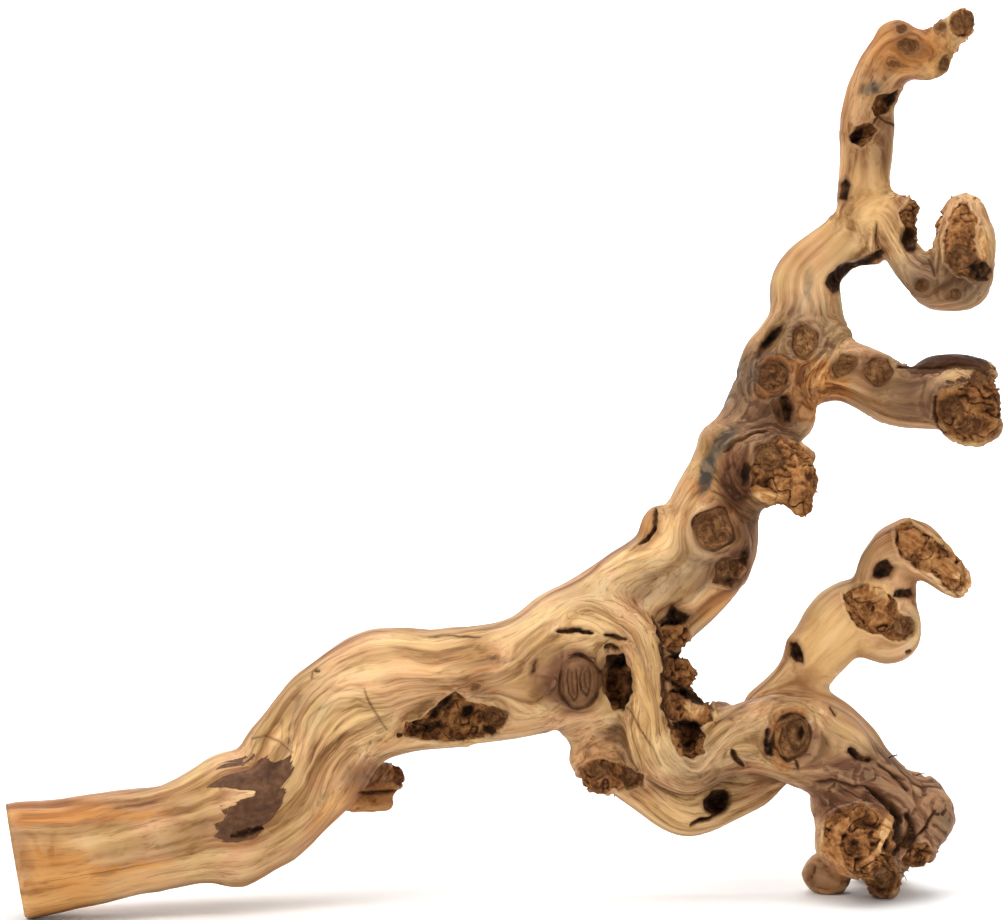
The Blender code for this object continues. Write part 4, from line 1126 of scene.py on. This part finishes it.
for share, tinted in (
    (attribute(tree, "tints", "Alpha"), cream_wood), (tint_split.outputs[0], grey_wood),
    (tint_split.outputs[1], orange_wood), (tint_split.outputs[2], purple_wood),
    (stain_and_shade_split.outputs[0], blue_wood),
):
    uneven = layered(tree, (share, 1.0), (sums(tree, "MULTIPLY", waver, share), 2.3))
    colour = joint_colour(tree, stepped(tree, uneven, 0.12, 0.85), colour, tinted)
colour = joint_colour(tree, 1.0, colour, shade_colour, "MULTIPLY")

# Painted shade: wood that lies low among its surroundings is darkened towards deep brown.
dip_shade = stepped(tree, attribute(tree, "dip"), 0.15, 1.6)
colour = joint_colour(tree, sums(tree, "MULTIPLY", dip_shade, 0.75), colour, (0.090, 0.038, 0.014))
# Painted highlight: wood that stands proud of its neighbours is lightened towards cream.
ridge_highlight = stepped(tree, attribute(tree, "cavity"), -0.02, -0.22)
colour = joint_colour(tree, sums(tree, "MULTIPLY", ridge_highlight, 0.2), colour, (0.72, 0.48, 0.25))
bark = attribute(tree, "bark")
bark_edge = sums(tree, "MULTIPLY", sums(tree, "SUBTRACT", streak, 0.5), 11.0)
on_bark = stepped(tree, sums(tree, "ADD", bark, bark_edge), -0.3, 0.4)
bark_colour = shaded(tree, layered(tree, (speck, 0.35), (streak, 0.40), (1.0, 0.12)), [
    (0.34, (0.034, 0.013, 0.006)), (0.50, (0.098, 0.043, 0.021)), (0.66, (0.190, 0.096, 0.049)),
])
colour = joint_colour(tree, on_bark, colour, bark_colour)

plug = attribute(tree, "plug")
plug_curl = grained(tree, solid_place, 0.0085, 2.0, 0.5, 1.1)
plug_wave = layered(tree, (attribute(tree, "ring"), 0.9), (plug_curl, 34.0))
plug_line = stepped(tree, sums(tree, "SINE", plug_wave, 0.0), 0.45, 1.0)
plug_colour = shaded(tree, layered(tree, (splinter, 0.30), (plug_curl, 0.35), (speck, 0.35)), [
    (0.36, (0.045, 0.016, 0.006)), (0.45, (0.115, 0.047, 0.016)), (0.52, (0.205, 0.094, 0.034)),
    (0.60, (0.300, 0.150, 0.058)), (0.70, (0.430, 0.245, 0.110)),
])
plug_colour = joint_colour(
    tree, sums(tree, "MULTIPLY", plug_line, 0.62), plug_colour, (0.045, 0.017, 0.006)
)
bare_plug = stepped(tree, smooth, 0.55, 0.95, 1.0, 0.25)
on_plug = stepped(tree, layered(tree, (plug, 1.0), (speck, 1.5)), 0.5, 1.6)
on_plug = sums(tree, "MULTIPLY", on_plug, bare_plug)
colour = joint_colour(tree, on_plug, colour, plug_colour)

torn_edge = stepped(tree, layered(tree, (attribute(tree, "broken"), 1.0), (speck, 3.0)), 0.9, 2.0)
# The torn wood's colour follows the height of its relief: near black in the gaps as painted shade
# and light on the lump tops as painted highlight, mixed with the splinter grain.
torn_colour_and_shade = shaded(tree, layered(tree, (splinter, 0.40), (attribute(tree, "torn"), 0.60)), [
    (0.27, (0.018, 0.006, 0.002)), (0.38, (0.085, 0.030, 0.009)), (0.47, (0.220, 0.090, 0.028)),
    (0.56, (0.370, 0.170, 0.058)), (0.70, (0.580, 0.330, 0.135)),
])
torn_share = sums(tree, "MULTIPLY", torn_edge, sums(tree, "SUBTRACT", 1.0, on_plug))
colour = joint_colour(tree, torn_share, colour, torn_colour_and_shade)
plate_colour = shaded(tree, layered(tree, (splinter, 0.35), (streak, 0.65)), [
    (0.34, (0.240, 0.090, 0.028)), (0.46, (0.480, 0.235, 0.082)), (0.56, (0.640, 0.385, 0.165)),
    (0.68, (0.760, 0.540, 0.310)),
])
dull_plate = joint_colour(tree, 1.0, plate_colour, (0.62, 0.50, 0.42), "MULTIPLY")
clean = stepped(tree, attribute(tree, "tints", "Alpha"), 0.1, 0.6)
plate_colour = joint_colour(tree, clean, dull_plate, plate_colour)
on_plate = stepped(tree, attribute(tree, "plate"), -0.1, 0.5)
colour = joint_colour(tree, on_plate, colour, plate_colour)
# Painted shade, together with darker wood: the darkened zones, edges and undersides are multiplied
# towards brown.
darkened_and_shaded = add_node(
    tree, "ShaderNodeVectorMath", {0: colour, 1: (0.45, 0.36, 0.30)}, operation="MULTIPLY"
).outputs[0]
darkened_and_shaded_share = stepped(tree, layered(tree, (stain_and_shade_split.outputs[1], 1.0), (waver, 0.8)), 0.0, 1.0)
colour = joint_colour(tree, darkened_and_shaded_share, colour, darkened_and_shaded)
# Painted shade: creases and cracks are darkened to near black.
crease_shade = sums(tree, "MULTIPLY", attribute(tree, "crease"), 0.55)
colour = joint_colour(tree, crease_shade, colour, (0.026, 0.010, 0.004))

# Painted shadow: hollows, slits and the crevices round the plugs are coloured from dark brown at
# their walls to near black in their depths, with lighter lumps, and the wood round their rims is
# darkened brown.
hollow = attribute(tree, "hollow")
hollow_rim_shade = stepped(tree, layered(tree, (hollow, 1.0), (streak, 5.0)), -1.0, 3.2)
colour = joint_colour(tree, sums(tree, "MULTIPLY", hollow_rim_shade, 0.5), colour, (0.095, 0.038, 0.013))
in_hollow = stepped(tree, layered(tree, (hollow, 1.0), (speck, 2.0)), 0.4, 1.7)
deep_shade = stepped(tree, layered(tree, (hollow, 1.0), (speck, 3.0)), 1.0, 3.2)
hollow_shade_colour = shaded(tree, layered(tree, (speck, 0.4), (attribute(tree, "torn"), 0.6)), [
    (0.36, (0.008, 0.003, 0.001)), (0.50, (0.036, 0.014, 0.005)), (0.62, (0.120, 0.052, 0.018)),
    (0.76, (0.260, 0.130, 0.052)),
])
hollow_wall_shade = joint_colour(tree, 0.5, (0.120, 0.050, 0.017), hollow_shade_colour)
hollow_shade_colour = joint_colour(tree, deep_shade, hollow_wall_shade, hollow_shade_colour)
colour = joint_colour(tree, in_hollow, colour, hollow_shade_colour)

sawn_split = add_node(tree, "ShaderNodeSeparateXYZ", {0: attribute(tree, "sawn", "Vector")})
cut_flat = add_node(
    tree, "ShaderNodeCombineXYZ", {0: sawn_split.outputs[0], 1: sawn_split.outputs[1]}
).outputs[0]
from_pith = add_node(tree, "ShaderNodeVectorMath", {0: cut_flat}, operation="LENGTH").outputs[1]
round_pith = add_node(tree, "ShaderNodeVectorMath", {0: cut_flat}, operation="NORMALIZE").outputs[0]
ring_warp = layered(tree, (from_pith, 2.6), (speck, 6.0))
rings = layered(tree, (sums(tree, "SINE", ring_warp, 0.0), 0.5), (0.5, 1.0))
rays = grained(tree, round_pith, 0.028, 3.0, 0.7)
sawn_colour = shaded(tree, layered(tree, (rings, 0.25), (rays, 0.75)), [
    (0.35, (0.030, 0.020, 0.014)), (0.50, (0.120, 0.080, 0.052)), (0.62, (0.240, 0.165, 0.105)),
    (0.78, (0.400, 0.280, 0.170)),
])
on_cut = stepped(tree, sawn_split.outputs[2], -0.5, -0.2)
colour = joint_colour(tree, on_cut, colour, sawn_colour)
tree.links.new(colour, wood_surface.inputs["Base Color"])

any_torn = sums(tree, "MAXIMUM", sums(tree, "MAXIMUM", torn_edge, in_hollow), on_plug)
grain_height = layered(tree, (hair, 0.3), (streak, 0.5), (contour_line, -0.25))
height = layered(
    tree,
    (sums(tree, "MULTIPLY", grain_height, strandy), sums(tree, "SUBTRACT", 1.0, any_torn)),
    (sums(tree, "MULTIPLY", splinter, 1.8), any_torn),
)
relief = add_node(tree, "ShaderNodeBump", {"Height": height, "Strength": 0.45, "Distance": 0.0011})
tree.links.new(relief.outputs["Normal"], wood_surface.inputs["Normal"])
gloss = stepped(tree, sums(tree, "ADD", streak, any_torn), 0.4, 1.3, 0.55, 0.90)
tree.links.new(gloss, wood_surface.inputs["Roughness"])

# Where the torn ends still carry loose shreds of wood and bark, in millimetres as seen: middle,
# half sizes and tilt.
SPLINTERED = [
    (181, 262, 10, 28, 8), (114, 150, 10, 14, 0), (122, 128, 9, 10, 0), (246, 436, 8, 10, 0),
    (243, 338, 9, 5, 0), (298, 332, 7, 9, 0), (301, 316, 8, 18, 0), (246, 32, 10, 12, 0),
    (-44, 116, 16, 8, 0), (64, 83, 20, 8, 0), (250, 52, 10, 14, 0), (280, 440, 14, 8, 0),
    (278, 208, 8, 8, 0),
]
thin_points, thin_normals = points_of(thin_mesh), normals_of(thin_mesh)
across, up = view_from(FRONT, thin_points)
splintered = np.zeros(len(thin_points))
for x, z, wide, high, tilt in SPLINTERED:
    u, v = tilted(across - x, up - z, tilt)
    splintered = np.maximum(splintered, smooth_step(-np.hypot(u / wide, v / high), -1.1, -0.7))
splintered *= smooth_step(-thin_normals[:, 1], -0.4, 0.1)
set_attribute(thin_mesh, "splintered", "FLOAT", "value", splintered)

shred_mesh = bpy.data.meshes.new("shred")
shred_points = [(0.5, 0, 0), (-0.3, 0.4, 0), (-0.3, -0.4, 0), (0.42, 0.05, 0.5), (-0.2, 0.28, 0.45),
                (-0.16, -0.3, 0.55), (0.12, -0.02, 1.0)]
shred_faces = [(0, 2, 1), (0, 1, 4, 3), (1, 2, 5, 4), (2, 0, 3, 5), (3, 4, 6), (4, 5, 6), (5, 3, 6)]
shred_mesh.from_pydata(shred_points, [], shred_faces)
shred = linked("shred", shred_mesh)
shred.hide_render = True

shreds = bpy.data.node_groups.new("torn_shreds", "GeometryNodeTree")
shreds.is_modifier = True
face = shreds.interface
face.new_socket("Wood", in_out="INPUT", socket_type="NodeSocketGeometry")
face.new_socket("Dressed wood", in_out="OUTPUT", socket_type="NodeSocketGeometry")
SHRED_SIZES = {"Shreds in a square metre": 21000.0, "Shred width": 0.0021, "Shred length": 0.0031}
for name, value in SHRED_SIZES.items():
    face.new_socket(name, in_out="INPUT", socket_type="NodeSocketFloat").default_value = value
given = add_node(shreds, "NodeGroupInput").outputs
zone = add_node(
    shreds, "GeometryNodeInputNamedAttribute", {"Name": "splintered"}, data_type="FLOAT"
).outputs["Attribute"]
density = sums(shreds, "MULTIPLY", zone, given["Shreds in a square metre"])
strewn = add_node(
    shreds,
    "GeometryNodeDistributePointsOnFaces",
    {"Mesh": given["Wood"], "Density": density, "Seed": 7},
)
lean = add_node(
    shreds,
    "FunctionNodeRandomValue",
    {0: (-0.8, -0.8, -0.8), 1: (0.8, 0.8, 0.8), "Seed": 3},
    data_type="FLOAT_VECTOR",
).outputs[0]
way_out = add_node(
    shreds, "ShaderNodeVectorMath", {0: strewn.outputs["Normal"], 1: lean}
).outputs[0]
aimed = add_node(
    shreds, "FunctionNodeAlignRotationToVector", {"Vector": way_out}, axis="Z"
).outputs[0]
widths = add_node(
    shreds, "FunctionNodeRandomValue", {2: 0.5, 3: 1.3, "Seed": 11}, data_type="FLOAT"
).outputs[1]
lengths = add_node(
    shreds, "FunctionNodeRandomValue", {2: 0.35, 3: 1.2, "Seed": 5}, data_type="FLOAT"
).outputs[1]
wide = sums(shreds, "MULTIPLY", widths, given["Shred width"])
long = sums(shreds, "MULTIPLY", lengths, given["Shred length"])
sizes = add_node(shreds, "ShaderNodeCombineXYZ", {0: wide, 1: wide, 2: long}).outputs[0]
sunk = add_node(
    shreds, "ShaderNodeVectorMath", {0: way_out, "Scale": -0.0006}, operation="SCALE"
).outputs[0]
seated = add_node(
    shreds, "GeometryNodeSetPosition", {"Geometry": strewn.outputs["Points"], "Offset": sunk}
).outputs[0]
one_shred = add_node(shreds, "GeometryNodeObjectInfo", {"Object": shred}).outputs["Geometry"]
placed = add_node(
    shreds,
    "GeometryNodeInstanceOnPoints",
    {"Points": seated, "Instance": one_shred, "Rotation": aimed, "Scale": sizes},
).outputs[0]
made_real = add_node(shreds, "GeometryNodeRealizeInstances", {"Geometry": placed}).outputs[0]
both = add_node(shreds, "GeometryNodeJoinGeometry")
shreds.links.new(made_real, both.inputs[0])
shreds.links.new(given["Wood"], both.inputs[0])
finished = add_node(
    shreds, "GeometryNodeSetMaterial", {"Geometry": both.outputs[0], "Material": wood}
).outputs[0]
add_node(shreds, "NodeGroupOutput", {0: finished})
dressing = linked("dressing", thin_mesh)
step = dressing.modifiers.new("shreds", "NODES")
step.node_group = shreds
for item in face.items_tree:
    if item.in_out == "INPUT" and item.name in SHRED_SIZES:
        step[item.identifier] = SHRED_SIZES[item.name]
bpy.context.view_layer.update()
vine_mesh = bpy.data.meshes.new_from_object(
    dressing.evaluated_get(bpy.context.evaluated_depsgraph_get())
)
bpy.data.objects.remove(dressing)
bpy.data.objects.remove(shred)
set_points(vine_mesh, np.clip(points_of(vine_mesh), low_corner, high_corner))
vine_mesh.materials.clear()
vine_mesh.materials.append(wood)
vine_mesh.shade_smooth()
vine = linked("vine_wood", vine_mesh)
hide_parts("grapevine")
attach(vine, "root")

# The rootlets. Four dry hairs of root, thinner than a match, still held in the grown burl and in
# its torn foot, each rooted a few millimetres deep in the wood.
ROOTLETS = [
    (234, 97.5, [(0, 0, 0), (1.5, -1.5, 1.5), (4.5, -3, 2.5), (7.5, -3.5, 5.5)], 0.7),
    (235.5, 98.5, [(0, 0, 0), (1.5, -1, 0.6), (4, -2, 0.8), (6, -3, 0.2)], 0.5),
    (251, 87, [(0, 0, 0), (1.5, -1.5, 1.0), (4, -2.5, 1.6), (6, -3, 1.2)], 0.6),
    (241, 28, [(0, 0, 0), (1, -2.5, -0.5), (2.5, -4, -2), (3.5, -4.5, -5)], 0.5),
]
ROOTLET_SIDES, ROOTLET_SUNK = 6, 0.004
rootlet_shape = bmesh.new()
for x, z, bends, thick in ROOTLETS:
    place, normal, way = struck(FRONT, x, z)
    line = [place - normal * ROOTLET_SUNK] + [place + Vector(bend) / 1000 for bend in bends]
    rings = []
    for k, middle in enumerate(line):
        ahead = (line[min(k + 1, len(line) - 1)] - line[max(k - 1, 0)]).normalized()
        side = ahead.orthogonal().normalized()
        radius = thick / 1000 * (1 - 0.75 * k / (len(line) - 1))
        rings.append([
            rootlet_shape.verts.new(
                middle + radius * (side * math.cos(turn) + ahead.cross(side) * math.sin(turn))
            )
            for turn in np.arange(ROOTLET_SIDES) * 2 * math.pi / ROOTLET_SIDES
        ])
    for low, high in zip(rings, rings[1:]):
        for k in range(ROOTLET_SIDES):
            after = (k + 1) % ROOTLET_SIDES
            rootlet_shape.faces.new((low[k], low[after], high[after], high[k]))
    rootlet_shape.faces.new(rings[0][::-1])
    rootlet_shape.faces.new(rings[-1])
rootlet_mesh = bpy.data.meshes.new("rootlets")
rootlet_shape.to_mesh(rootlet_mesh)
rootlet_shape.free()
rootlet_mesh.shade_smooth()
root_skin, _ = plain_surface("dry_rootlet", (0.045, 0.026, 0.016), 0.8, 0.1)
rootlet_mesh.materials.append(root_skin)
rootlets = linked("rootlets", rootlet_mesh)
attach(rootlets, "root")
